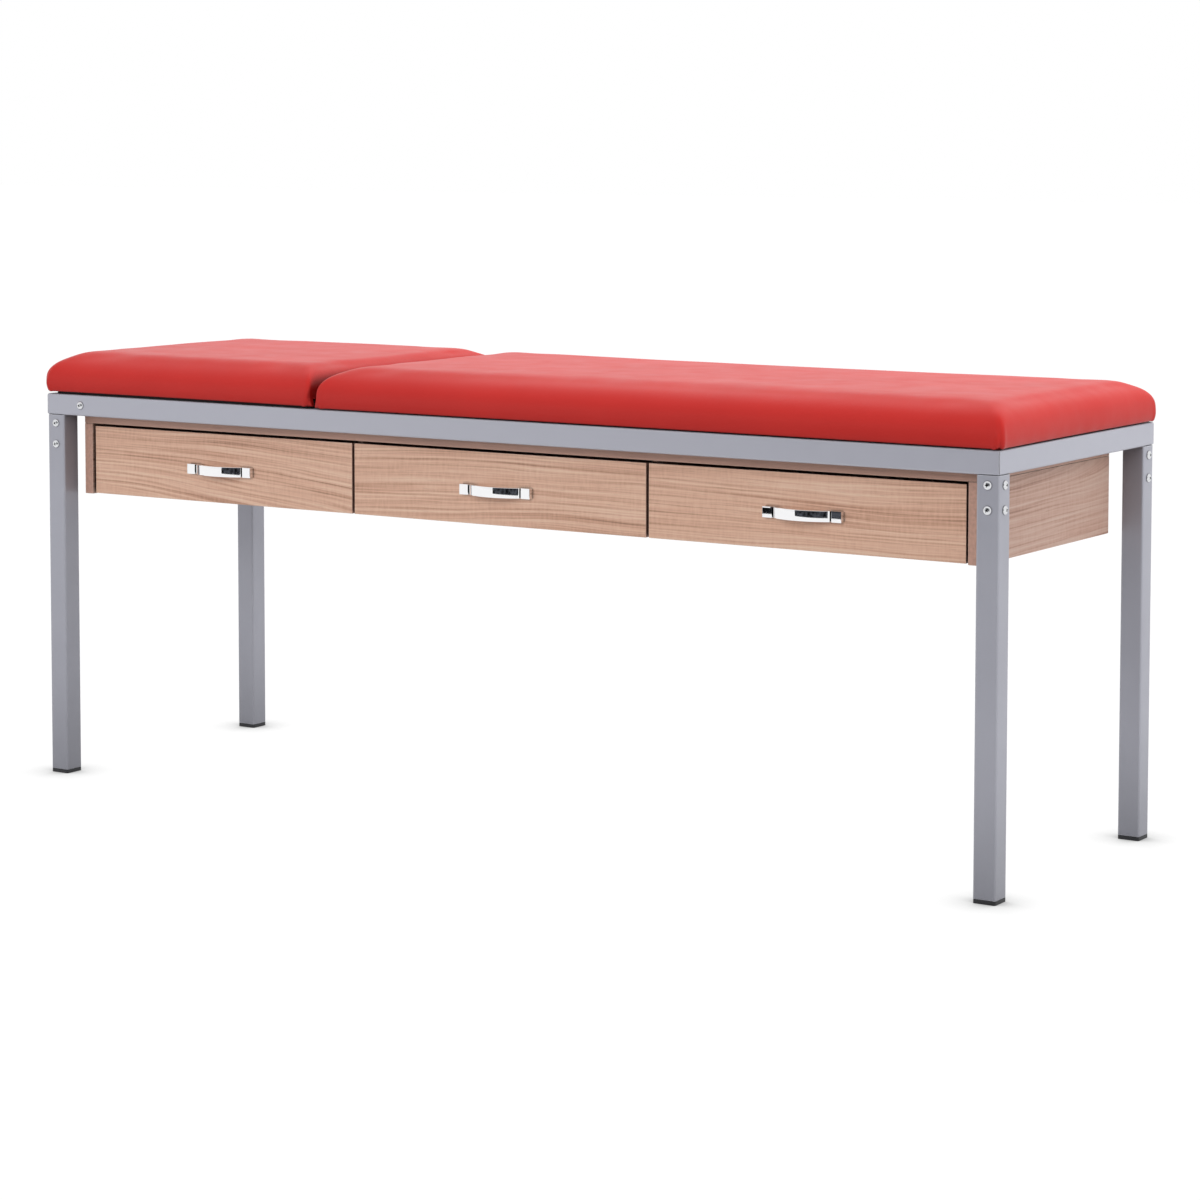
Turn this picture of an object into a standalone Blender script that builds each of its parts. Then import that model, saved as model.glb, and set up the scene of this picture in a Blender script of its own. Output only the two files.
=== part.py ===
"""Examination couch with drawers.

A square-tube steel frame stands on four bolted legs and carries two upholstered sections.
The head section tilts on a piano hinge and is held up by a swinging prop.
A laminate drawer unit with three drawers hangs under the frame.
The origin is on the floor under the middle of the couch: +X to the foot end, +Y to the back.
"""
import math

import bmesh
import bpy
from mathutils import Matrix, Vector

# Fits: the gap between pieces that touch, and the merge distance for welded meshes.
SEAT = 0.0003
WELD = 0.000001

# Steel frame and legs, all of one square tube.
FRAME_LENGTH = 1.900
FRAME_WIDTH = 0.576
FRAME_TOP = 0.692
TUBE = 0.038
TUBE_WALL = 0.0015
TUBE_ROUND = 0.003
ROUND_STEPS = 3
LEG_INSET = 0.0005
HEAD_BAR_SHIFT = 0.025
FOOT_BAR_OFFSET = 0.320
SOCKET_LENGTH = 0.080
SOCKET_WALL = 0.002

# Plastic foot caps: a rim under the leg and a finned plug inside it.
FOOT_RIM = 0.0065
FOOT_PLUG = 0.024
FOOT_CORE_INSET = 0.0025
FOOT_FIN = 0.0018
FOOT_FINS = 3
FOOT_EDGE = 0.0008

# Upholstered sections on their boards.
HEAD_LENGTH = 0.605
SECTION_GAP = 0.010
BOARD = 0.016
BOARD_INSET = 0.006
BOARD_ROUND = 0.024
BOARD_STEPS = 5
POCKET_RUN_OUT = 0.050
MAIN_STRIP = 0.0012
HEAD_STRIP = 0.0036
CUSHION_OVERHANG = 0.005
CUSHION_SHOULDER = 0.064
CUSHION_CROWN = 0.003
BULGE_HEIGHT = 0.016
HEM_TUCK = 0.003
SIDE_TUCK = 0.001
UNDER_TUCK = 0.006
SHOULDER_ROUND = 0.046
CORNER_ROUND = 0.010
CORNER_EASE = 0.1
SIDE_PULL = 0.0025
CORNER_STEPS = 6
SHOULDER_STEPS = 6
CROWN_STEPS = 4
LONG_SIDE_STEPS = 6
SHORT_SIDE_STEPS = 4

# Piano hinge between the two boards.
HINGE_END_GAP = 0.003
HINGE_LIFT = 0.004
HINGE_HALF_GAP = 0.0035
HINGE_LEAF = 0.0012
HINGE_LEAF_FOOT = 0.002
KNUCKLES = 11
KNUCKLE_RADIUS = 0.003
KNUCKLE_SLACK = 0.0005
TAB_INSET = 0.003
TAB_DROP = 0.0008
PIN_RADIUS = 0.0012
PIN_PROUD = 0.002
BORE_OVERRUN = 0.008

# Prop that holds the head section up, its brackets and its notched racks.
HEAD_TILT = 45.0
PROP_LENGTH = 0.275
PROP_END_GAP = 0.072
PROP_EYE_GAP = 0.002
PROP_ARM_GAP = 0.025
PROP_ARM_WIDTH = 0.020
PROP_ARM_THICK = 0.004
PROP_ROD_RADIUS = 0.005
PROP_ROD_CLEAR = 0.001
STUD_RADIUS = 0.004
BRACKET_LENGTH = 0.050
BRACKET_WIDTH = 0.030
BRACKET_PLATE = 0.002
RACK_THICK = 0.004
RACK_MARGIN = 0.017
RACK_EAR_GAP = 0.012
RACK_EAR = 0.028
RACK_EAR_DROP = 0.011
RACK_FOOT_RISE = 0.002
RACK_CLEAR = 0.002
RACK_TOOTH = 0.006
RACK_TEETH = 6

# Drawer unit: laminate panels under the frame.
UNIT_END_GAP = 0.015
UNIT_FRONT_GAP = 0.002
UNIT_BACK_GAP = 0.019
UNIT_HEIGHT = 0.144
SIDE_PANEL = 0.018
TOP_PANEL = 0.016
BACK_PANEL = 0.016
DIVIDER = 0.018
DIVIDER_RISE = 0.002
DIVIDER_SETBACK = 0.006
PANEL_EDGE = 0.0008
PANEL_EDGE_STEPS = 2

# Drawers, named from the head end.
DRAWER_NAMES = ("left", "middle", "right")
# The middle drawer takes this much of the right one's width.
MIDDLE_EXTRA = 0.0095
FRONT = 0.018
FRONT_RECESS = 0.003
FRONT_SIDE_GAP = 0.0048
FRONT_MID_GAP = 0.0052
FRONT_TOP_GAP = 0.0048
FRONT_BOTTOM_RISE = 0.0015
BOX_SIDE = 0.012
BOX_RISE = 0.007
BOX_DROP = 0.028
BOX_BACK_GAP = 0.027
BOTTOM = 0.004
BOTTOM_RISE = 0.008
GROOVE = 0.006
RUNNER_GAP = 0.013
RUNNER_SHEET = 0.0015
RUNNER_HEIGHT = 0.032
RUNNER_SHORT = 0.015

# Bow handles.
HANDLE_LENGTH = 0.142
HANDLE_HEIGHT = 0.0177
HANDLE_SHIFT = 0.003
HANDLE_DROP = 0.003
HANDLE_PAD = 0.018
HANDLE_PAD_RISE = 0.0095
HANDLE_GROOVE = 0.0025
HANDLE_GROOVE_DEPTH = 0.005
HANDLE_BOW = 0.024
HANDLE_BAND = 0.004
HANDLE_STEPS = 14
HANDLE_EDGE = 0.0006

# How finely round forms are cut, and the angles that count as edges.
ROD_SIDES = 16
FINE_SIDES = 12
ROUND_END_STEPS = 8
BEVEL_ANGLE = 40.0
SMOOTH_ANGLE = 50.0

# Derived places that several pieces share.
HALF_LENGTH = FRAME_LENGTH / 2
HALF_WIDTH = FRAME_WIDTH / 2
FRAME_UNDER = FRAME_TOP - TUBE
INNER_WIDTH = FRAME_WIDTH - 2 * TUBE
BOARD_UNDER = FRAME_TOP + SEAT
BOARD_TOP = BOARD_UNDER + BOARD
JOINT_X = -HALF_LENGTH + HEAD_LENGTH
AXIS_Z = BOARD_TOP + HINGE_LIFT
BOARD_WIDTH = FRAME_WIDTH - 2 * BOARD_INSET
HINGE_LENGTH = BOARD_WIDTH - 2 * BOARD_ROUND - 2 * HINGE_END_GAP
KNUCKLE_PITCH = HINGE_LENGTH / KNUCKLES
PIVOT_Z = BOARD_UNDER - PROP_ARM_WIDTH / 2 - PROP_EYE_GAP
FOOT_Z = FRAME_TOP - TUBE / 2
FOOT_X = -HALF_LENGTH + TUBE + PROP_END_GAP
PROP_RUN = math.sqrt(PROP_LENGTH ** 2 - (PIVOT_Z - FOOT_Z) ** 2)
PIVOT_X = FOOT_X + PROP_RUN
PROP_ARM_OFFSET = INNER_WIDTH / 2 - PROP_ARM_GAP
UNIT_LENGTH = FRAME_LENGTH - 2 * TUBE - 2 * UNIT_END_GAP
UNIT_FRONT = -INNER_WIDTH / 2 + UNIT_FRONT_GAP
UNIT_BACK = INNER_WIDTH / 2 - UNIT_BACK_GAP
DRAWER_COUNT = len(DRAWER_NAMES)
UNIT_TOP = FRAME_UNDER - SEAT
UNIT_BOTTOM = UNIT_TOP - UNIT_HEIGHT
UNIT_INNER = UNIT_LENGTH - 2 * SIDE_PANEL
PANEL_TOP = UNIT_TOP - TOP_PANEL - SEAT
FRONT_FACE = UNIT_FRONT + FRONT_RECESS
FRONT_REAR = FRONT_FACE + FRONT
FRONT_TOP = PANEL_TOP + SEAT - FRONT_TOP_GAP
FRONT_BOTTOM = UNIT_BOTTOM + FRONT_BOTTOM_RISE
FRONT_WIDTH = (UNIT_INNER - 2 * FRONT_SIDE_GAP - (DRAWER_COUNT - 1) * FRONT_MID_GAP) / DRAWER_COUNT
BAY = (UNIT_INNER - (DRAWER_COUNT - 1) * DIVIDER) / DRAWER_COUNT
BAY_PITCH = BAY + DIVIDER
FRONT_PITCH = FRONT_WIDTH + FRONT_MID_GAP
BOX_WIDTH = BAY - 2 * RUNNER_GAP
BOX_BOTTOM = FRONT_BOTTOM + BOX_RISE
BOX_TOP = FRONT_TOP - BOX_DROP
BOX_FRONT = FRONT_REAR + SEAT
BOX_BACK = UNIT_BACK - BACK_PANEL - BOX_BACK_GAP
RUNNER_LENGTH = BOX_BACK - BOX_FRONT - RUNNER_SHORT

# Finishes: base colour, roughness and metallic value.
FINISHES = {
    "red_vinyl": ((0.56, 0.035, 0.030), 0.42, 0.0),
    "grey_paint": ((0.36, 0.36, 0.41), 0.38, 0.2),
    "laminate": ((0.52, 0.33, 0.22), 0.45, 0.0),
    "white_board": ((0.78, 0.77, 0.74), 0.50, 0.0),
    "black_plastic": ((0.012, 0.012, 0.013), 0.50, 0.0),
    "black_board": ((0.020, 0.018, 0.018), 0.80, 0.0),
    "chrome": ((0.80, 0.80, 0.81), 0.08, 1.0),
    "zinc": ((0.62, 0.63, 0.65), 0.30, 1.0),
}


def clear_scene():
    for old in list(bpy.data.objects):
        bpy.data.objects.remove(old, do_unlink=True)


def make_collection(name):
    made = bpy.data.collections.new(name)
    bpy.context.scene.collection.children.link(made)
    return made


def make_material(name):
    colour, roughness, metallic = FINISHES[name]
    made = bpy.data.materials.new(name)
    made.use_nodes = True
    shader = made.node_tree.nodes["Principled BSDF"]
    shader.inputs["Base Color"].default_value = (*colour, 1.0)
    shader.inputs["Roughness"].default_value = roughness
    shader.inputs["Metallic"].default_value = metallic
    return made


def make_empty(name, place, parent=None):
    """An empty on a joint's axis, which carries the pieces that move on it."""
    made = bpy.data.objects.new(name, None)
    PARTS.objects.link(made)
    set_place(made, place, parent)
    return made


def set_place(obj, place, parent):
    """Put an object at a place in the world, under its parent."""
    carried = Vector(place)
    if parent is not None:
        obj.parent = parent
        carried -= WORLD_PLACE[parent.name]
    obj.location = carried
    WORLD_PLACE[obj.name] = Vector(place)


def add_part(name, mesh, place, finish, parent=None):
    made = bpy.data.objects.new(name, mesh)
    PARTS.objects.link(made)
    made.data.materials.append(MATERIALS[finish])
    set_place(made, place, parent or ROOT)
    return made


def add_cutter(name, mesh, place, parent=None):
    made = bpy.data.objects.new(name, mesh)
    CUTTERS.objects.link(made)
    made.hide_render = True
    made.display_type = "WIRE"
    set_place(made, place, parent or ROOT)
    return made


def add_boolean(obj, other, operation):
    made = obj.modifiers.new(operation.lower(), "BOOLEAN")
    made.operation = operation
    made.solver = "EXACT"
    made.object = other


def add_bevel(obj, width, steps):
    made = obj.modifiers.new("edge", "BEVEL")
    made.width = width
    made.segments = steps
    made.limit_method = "ANGLE"
    made.angle_limit = math.radians(BEVEL_ANGLE)


def mesh_from(bm, name):
    bmesh.ops.recalc_face_normals(bm, faces=bm.faces)
    mesh = bpy.data.meshes.new(name)
    bm.to_mesh(mesh)
    bm.free()
    return mesh


def box_mesh(name, size):
    bm = bmesh.new()
    bmesh.ops.create_cube(bm, size=1.0)
    bmesh.ops.scale(bm, vec=size, verts=bm.verts)
    return mesh_from(bm, name)


def rod_mesh(name, radius, length, axis, sides=ROD_SIDES):
    """A round rod along one axis, centred on its own origin."""
    bm = bmesh.new()
    bmesh.ops.create_cone(bm, cap_ends=True, segments=sides, radius1=radius, radius2=radius, depth=length)
    turn = {"X": Matrix.Rotation(math.pi / 2, 3, "Y"), "Y": Matrix.Rotation(math.pi / 2, 3, "X")}
    if axis in turn:
        bmesh.ops.rotate(bm, cent=(0, 0, 0), matrix=turn[axis], verts=bm.verts)
    return mesh_from(bm, name)


def plate_mesh(name, outlines, thickness, plane):
    """A flat outline, with any holes, given thickness across its plane: XZ, XY or YZ."""
    curve = bpy.data.curves.new(name, "CURVE")
    curve.dimensions = "2D"
    curve.fill_mode = "BOTH"
    curve.extrude = thickness / 2
    for outline in outlines:
        spline = curve.splines.new("POLY")
        spline.points.add(len(outline) - 1)
        spline.use_cyclic_u = True
        for point, (u, v) in zip(spline.points, outline):
            point.co = (u, v, 0, 1)
    drawn = bpy.data.objects.new(name, curve)
    CUTTERS.objects.link(drawn)
    bpy.context.view_layer.update()
    flat = bpy.data.meshes.new_from_object(drawn.evaluated_get(bpy.context.evaluated_depsgraph_get()))
    bpy.data.objects.remove(drawn, do_unlink=True)
    bm = bmesh.new()
    bm.from_mesh(flat)
    bmesh.ops.remove_doubles(bm, verts=bm.verts, dist=WELD)
    turn = {
        "XY": Matrix.Identity(3),
        "XZ": Matrix.Rotation(math.pi / 2, 3, "X"),
        "YZ": Matrix.Rotation(math.pi / 2, 3, "Z") @ Matrix.Rotation(math.pi / 2, 3, "X"),
    }
    bmesh.ops.transform(bm, matrix=turn[plane], space=Matrix.Identity(4), verts=bm.verts)
    return mesh_from(bm, name)


def joined_mesh(name, placed):
    """Several meshes in one, each moved to its place, still as separate bodies."""
    bm = bmesh.new()
    for mesh, place in placed:
        first = len(bm.verts)
        bm.from_mesh(mesh)
        bm.verts.ensure_lookup_table()
        bmesh.ops.translate(bm, vec=place, verts=bm.verts[first:])
    return mesh_from(bm, name)


def rounded_outline(width, depth, radius, steps):
    """A rectangle with round corners, counter-clockwise from its right side."""
    flat_x = width / 2 - radius
    flat_y = depth / 2 - radius
    points = []
    for corner, (sx, sy) in enumerate(((1, 1), (-1, 1), (-1, -1), (1, -1))):
        for step in range(steps + 1):
            angle = (corner + step / steps) * math.pi / 2
            points.append((sx * flat_x + radius * math.cos(angle), sy * flat_y + radius * math.sin(angle)))
    return points


def rounded_square(side, radius):
    return rounded_outline(side, side, radius, ROUND_STEPS)


def tube_mesh(name, side, wall, length, plane):
    inner_round = max(TUBE_ROUND - wall, wall / 2)
    outlines = [rounded_square(side, TUBE_ROUND), rounded_square(side - 2 * wall, inner_round)]
    return plate_mesh(name, outlines, length, plane)


def slant_ends(mesh, length):
    """Mitre a tube along X whose outer side faces -Y, so that four of them close a frame."""
    for vertex in mesh.vertices:
        depth = vertex.co.y + TUBE / 2
        vertex.co.x = math.copysign(length / 2 - depth - SEAT / math.sqrt(2), vertex.co.x)


def build_frame():
    middle_z = FRAME_TOP - TUBE / 2
    reach_x = HALF_LENGTH - TUBE / 2
    reach_y = HALF_WIDTH - TUBE / 2
    rails = (
        ("rail_front", FRAME_LENGTH, (0, -reach_y), 0),
        ("rail_right", FRAME_WIDTH, (reach_x, 0), 90),
        ("rail_back", FRAME_LENGTH, (0, reach_y), 180),
        ("rail_left", FRAME_WIDTH, (-reach_x, 0), 270),
    )
    for name, length, (x, y), turn in rails:
        mesh = tube_mesh(name, TUBE, TUBE_WALL, length, "YZ")
        slant_ends(mesh, length)
        rail = add_part(name, mesh, (x, y, middle_z), "grey_paint")
        rail.rotation_euler.z = math.radians(turn)
    for name, x in (("cross_bar_head", JOINT_X + HEAD_BAR_SHIFT), ("cross_bar_foot", FOOT_BAR_OFFSET)):
        mesh = tube_mesh(name, TUBE, TUBE_WALL, INNER_WIDTH - 2 * SEAT, "XZ")
        add_part(name, mesh, (x, 0, middle_z), "grey_paint")


def build_legs():
    leg_low = FOOT_RIM + SEAT
    leg_high = FRAME_UNDER - SEAT
    bore = TUBE - 2 * TUBE_WALL
    reach_x = HALF_LENGTH - LEG_INSET - TUBE / 2
    reach_y = HALF_WIDTH - LEG_INSET - TUBE / 2
    for end, side_x in (("left", -1), ("right", 1)):
        for side, side_y in (("front", -1), ("back", 1)):
            corner = side + "_" + end
            x = side_x * reach_x
            y = side_y * reach_y
            leg = tube_mesh("leg", TUBE, TUBE_WALL, leg_high - leg_low, "XY")
            add_part("leg_" + corner, leg, (x, y, (leg_low + leg_high) / 2), "grey_paint")
            socket = tube_mesh("socket", bore - 2 * SEAT, SOCKET_WALL, SOCKET_LENGTH, "XY")
            add_part("leg_socket_" + corner, socket, (x, y, leg_high - SOCKET_LENGTH / 2), "grey_paint")
            build_foot("foot_cap_" + corner, x, y, bore)


def build_foot(name, x, y, bore):
    """A rim the size of the leg, with a finned plug that pushes into the leg's bore."""
    plug_side = bore - 2 * SEAT
    core_side = plug_side - 2 * FOOT_CORE_INSET
    rim = plate_mesh("rim", [rounded_square(TUBE, TUBE_ROUND)], FOOT_RIM, "XY")
    core = box_mesh("core", (core_side, core_side, FOOT_PLUG + FOOT_RIM / 2))
    fin = plate_mesh("fin", [rounded_square(plug_side, TUBE_ROUND)], FOOT_FIN, "XY")
    foot = add_part(name, rim, (x, y, FOOT_RIM / 2), "black_plastic")
    add_bevel(foot, FOOT_EDGE, 1)
    core_z = (FOOT_PLUG + FOOT_RIM / 2) / 2
    pitch = FOOT_PLUG / (FOOT_FINS + 1)
    plug = add_cutter(name + "_plug", core, (x, y, FOOT_RIM / 2 + core_z))
    fins = [(fin, (0, 0, FOOT_RIM / 2 - core_z + pitch * (step + 1))) for step in range(FOOT_FINS)]
    rings = add_cutter(name + "_fins", joined_mesh("fins", fins), (x, y, FOOT_RIM / 2 + core_z))
    add_boolean(foot, plug, "UNION")
    add_boolean(foot, rings, "UNION")


def cushion_ring(half_x, half_y, radius, pull, height):
    """One level of a cushion: a rectangle with round corners and sides drawn in between them."""
    points = []
    corners = ((1, 1), (-1, 1), (-1, -1), (1, -1))
    for corner, (sx, sy) in enumerate(corners):
        for step in range(CORNER_STEPS + 1):
            angle = (corner + step / CORNER_STEPS) * math.pi / 2
            x = sx * (half_x - radius) + radius * math.cos(angle)
            y = sy * (half_y - radius) + radius * math.sin(angle)
            points.append((x, y, height))
        along_x = corner % 2 == 0
        steps = LONG_SIDE_STEPS if along_x else SHORT_SIDE_STEPS
        for step in range(1, steps):
            share = 1 - 2 * step / steps
            drawn = pull * (1 - share * share)
            if along_x:
                points.append((sx * share * (half_x - radius), sy * (half_y - drawn), height))
            else:
                points.append((sx * (half_x - drawn), sy * share * (half_y - radius), height))
    return points


def cushion_mesh(name, length, width):
    """A crowned pad: hem, swelling side, round shoulder and a slightly domed top."""
    levels = [(UNDER_TUCK, 0.0), (HEM_TUCK, 0.0), (SIDE_TUCK, BULGE_HEIGHT / 2)]
    for step in range(SHOULDER_STEPS + 1):
        angle = step / SHOULDER_STEPS * math.pi / 2
        rise = (CUSHION_SHOULDER - BULGE_HEIGHT) * math.sin(angle)
        levels.append((SHOULDER_ROUND * (1 - math.cos(angle)), BULGE_HEIGHT + rise))
    spread = width / 2 - SHOULDER_ROUND
    for step in range(1, CROWN_STEPS):
        share = step / CROWN_STEPS
        dome = CUSHION_CROWN * (1 - (1 - share) ** 2)
        levels.append((SHOULDER_ROUND + spread * share, CUSHION_SHOULDER + dome))
    bm = bmesh.new()
    loops = []
    for inset, height in levels:
        radius = CORNER_ROUND + CORNER_EASE * min(inset, SHOULDER_ROUND)
        ring = cushion_ring(length / 2 - inset, width / 2 - inset, radius, SIDE_PULL, height)
        loops.append([bm.verts.new(point) for point in ring])
    for low, high in zip(loops, loops[1:]):
        for here in range(len(low)):
            after = (here + 1) % len(low)
            bm.faces.new((low[here], low[after], high[after], high[here]))
    bm.faces.new(loops[0])
    bm.faces.new(loops[-1])
    mesh = mesh_from(bm, name)
    mesh.shade_smooth()
    mesh.set_sharp_from_angle(angle=math.radians(SMOOTH_ANGLE))
    return mesh


def build_section(prefix, low_x, high_x, joint_side, strip, parent):
    """A board and the padded cover that hugs it, from its free end to the joint."""
    joint_x = JOINT_X + joint_side * HINGE_HALF_GAP
    free_x = joint_side * (HALF_LENGTH - BOARD_INSET)
    board_length = abs(free_x - joint_x)
    board_x = (free_x + joint_x) / 2
    board_outline = rounded_outline(board_length, BOARD_WIDTH, BOARD_ROUND, BOARD_STEPS)
    board = plate_mesh(prefix + "_board", [board_outline], BOARD, "XY")
    add_part(prefix + "_board", board, (board_x, 0, BOARD_UNDER + BOARD / 2), "black_board", parent)
    cushion = cushion_mesh(prefix + "_cushion", high_x - low_x, FRAME_WIDTH + 2 * CUSHION_OVERHANG)
    cushion_z = BOARD_UNDER + strip
    pad = add_part(prefix + "_cushion", cushion, ((low_x + high_x) / 2, 0, cushion_z), "red_vinyl", parent)
    pocket_length = board_length + SEAT + POCKET_RUN_OUT
    pocket_x = free_x + joint_side * (SEAT - pocket_length / 2)
    pocket_width = BOARD_WIDTH + 2 * SEAT
    pocket_outline = rounded_outline(pocket_length, pocket_width, BOARD_ROUND + SEAT, BOARD_STEPS)
    pocket = plate_mesh(prefix + "_pocket", [pocket_outline], 2 * (BOARD - strip + SEAT), "XY")
    add_boolean(pad, add_cutter(prefix + "_pocket", pocket, (pocket_x, 0, cushion_z), parent), "DIFFERENCE")


def build_leaf(name, side, first, parent):
    """One leaf of the piano hinge: a plate on the board's end with every other knuckle."""
    plate_x = side * (HINGE_HALF_GAP - SEAT - HINGE_LEAF / 2)
    plate_low = BOARD_UNDER + HINGE_LEAF_FOOT - AXIS_Z
    plate_high = -KNUCKLE_RADIUS - KNUCKLE_SLACK
    half = HINGE_LENGTH / 2
    comb = [(half, plate_high), (half, plate_low), (-half, plate_low), (-half, plate_high)]
    knuckle = rod_mesh("knuckle", KNUCKLE_RADIUS, KNUCKLE_PITCH - KNUCKLE_SLACK, "Y", FINE_SIDES)
    knuckles = []
    for step in range(first, KNUCKLES, 2):
        start = -half + step * KNUCKLE_PITCH + TAB_INSET
        end = start + KNUCKLE_PITCH - 2 * TAB_INSET
        comb += [(start, plate_high), (start, -TAB_DROP), (end, -TAB_DROP), (end, plate_high)]
        knuckles.append((knuckle, (0, (start + end) / 2, 0)))
    plate = plate_mesh(name, [comb], HINGE_LEAF, "YZ")
    plate.transform(Matrix.Translation((plate_x, 0, 0)))
    place = (JOINT_X, 0, AXIS_Z)
    leaf = add_part(name, plate, place, "zinc", parent)
    barrels = add_cutter(name + "_barrels", joined_mesh("barrels", knuckles), place, parent)
    bore = rod_mesh("bore", PIN_RADIUS + SEAT, HINGE_LENGTH + BORE_OVERRUN, "Y", FINE_SIDES)
    add_boolean(leaf, barrels, "UNION")
    add_boolean(leaf, add_cutter(name + "_bore", bore, place, parent), "DIFFERENCE")


def build_hinge(head):
    build_leaf("hinge_leaf_main", 1, 0, None)
    build_leaf("hinge_leaf_head", -1, 1, head)
    pin = rod_mesh("hinge_pin", PIN_RADIUS, HINGE_LENGTH + 2 * PIN_PROUD, "Y", FINE_SIDES)
    add_part("hinge_pin", pin, (JOINT_X, 0, AXIS_Z), "zinc")


def slot_outline(length, width, steps):
    """A bar with round ends, from the origin to -X."""
    points = []
    for centre, start in ((0.0, -math.pi / 2), (-length, math.pi / 2)):
        for step in range(steps + 1):
            angle = start + step / steps * math.pi
            points.append((centre + width / 2 * math.cos(angle), width / 2 * math.sin(angle)))
    return points


def circle_outline(radius, steps):
    return [
        (radius * math.cos(2 * math.pi * step / steps), radius * math.sin(2 * math.pi * step / steps))
        for step in range(steps)
    ]


def build_prop(prop, head):
    """Two flat arms welded to a foot rod, and the brackets they hang from under the head board."""
    lean = -math.asin((PIVOT_Z - FOOT_Z) / PROP_LENGTH)
    outline = slot_outline(PROP_LENGTH, PROP_ARM_WIDTH, ROUND_END_STEPS)
    eye = circle_outline(STUD_RADIUS + SEAT, FINE_SIDES)
    arm = plate_mesh("arm", [outline, eye], PROP_ARM_THICK, "XZ")
    arm.transform(Matrix.Rotation(lean, 4, "Y"))
    pivot = (PIVOT_X, 0, PIVOT_Z)
    arms = joined_mesh("prop_stay", [(arm, (0, side * PROP_ARM_OFFSET, 0)) for side in (-1, 1)])
    stay = add_part("prop_stay", arms, pivot, "zinc", prop)
    rod = rod_mesh("rod", PROP_ROD_RADIUS, INNER_WIDTH - 2 * PROP_ROD_CLEAR, "Y")
    add_boolean(stay, add_cutter("prop_stay_rod", rod, (FOOT_X, 0, FOOT_Z), prop), "UNION")
    for name, side in (("prop_bracket_front", -1), ("prop_bracket_back", 1)):
        build_bracket(name, side, head)


def build_bracket(name, side, head):
    """A plate under the head board with an ear and a stud for the prop's arm."""
    plate_z = BOARD_UNDER - SEAT - BRACKET_PLATE / 2
    ear_y = side * (PROP_ARM_OFFSET - PROP_ARM_THICK / 2 - SEAT - BRACKET_PLATE / 2)
    plate_y = ear_y - side * (BRACKET_WIDTH - BRACKET_PLATE) / 2
    ear_drop = PIVOT_Z - PROP_ARM_WIDTH / 2
    ear = box_mesh("ear", (PROP_ARM_WIDTH, BRACKET_PLATE, plate_z - ear_drop))
    stud_length = BRACKET_PLATE + PROP_ARM_THICK + 2 * SEAT + BRACKET_PLATE
    stud = rod_mesh("stud", STUD_RADIUS, stud_length, "Y", FINE_SIDES)
    stud_y = ear_y + side * (stud_length - BRACKET_PLATE) / 2
    plate = box_mesh(name, (BRACKET_LENGTH, BRACKET_WIDTH, BRACKET_PLATE))
    bracket = add_part(name, plate, (PIVOT_X, plate_y, plate_z), "zinc", head)
    ear_place = (PIVOT_X, ear_y, (plate_z + ear_drop) / 2)
    add_boolean(bracket, add_cutter(name + "_ear", ear, ear_place, head), "UNION")
    add_boolean(bracket, add_cutter(name + "_stud", stud, (PIVOT_X, stud_y, PIVOT_Z), head), "UNION")


def raised_foot_x():
    """Where the prop's foot stands on its line when the head section is fully up."""
    tilt = math.radians(HEAD_TILT)
    reach = JOINT_X - PIVOT_X
    drop = AXIS_Z - PIVOT_Z
    pivot_x = JOINT_X - reach * math.cos(tilt) - drop * math.sin(tilt)
    pivot_z = AXIS_Z + reach * math.sin(tilt) - drop * math.cos(tilt)
    return pivot_x - math.sqrt(PROP_LENGTH ** 2 - (pivot_z - FOOT_Z) ** 2)


def build_racks():
    """Toothed strips inside the long rails, where the prop's foot catches."""
    low = FRAME_UNDER + RACK_FOOT_RISE
    tip = FOOT_Z - PROP_ROD_RADIUS - RACK_CLEAR
    root = tip - RACK_TOOTH
    ear_top = FRAME_TOP - RACK_EAR_DROP
    rack_start = raised_foot_x() + RACK_MARGIN
    ear_x = FOOT_X - PROP_ROD_RADIUS - RACK_EAR_GAP
    rack_end = ear_x - RACK_EAR
    pitch = (rack_start - ear_x) / RACK_TEETH
    outline = [(rack_end, low), (rack_start, low)]
    for step in range(RACK_TEETH):
        start = rack_start - step * pitch
        outline += [(start, tip), (start - pitch, root)]
    outline += [(ear_x, ear_top), (rack_end, ear_top)]
    for name, side in (("prop_rack_front", -1), ("prop_rack_back", 1)):
        mesh = plate_mesh(name, [outline], RACK_THICK, "XZ")
        y = side * (INNER_WIDTH / 2 - SEAT - RACK_THICK / 2)
        add_part(name, mesh, (0, y, 0), "zinc")


def add_panel(name, low, high, finish="laminate", parent=None, steps=PANEL_EDGE_STEPS):
    """A board between two corners, with softened edges."""
    size = [top - base for base, top in zip(low, high)]
    middle = [(top + base) / 2 for base, top in zip(low, high)]
    panel = add_part(name, box_mesh(name, size), middle, finish, parent)
    add_bevel(panel, PANEL_EDGE, steps)
    return panel


def spaced(order, pitch, width):
    """Middle and width of one drawer's front or bay in the row of three."""
    middle = (order - (DRAWER_COUNT - 1) / 2) * pitch
    extra = (0.0, MIDDLE_EXTRA, -MIDDLE_EXTRA)[order]
    return middle + (MIDDLE_EXTRA / 2 if extra else 0.0), width + extra


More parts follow.
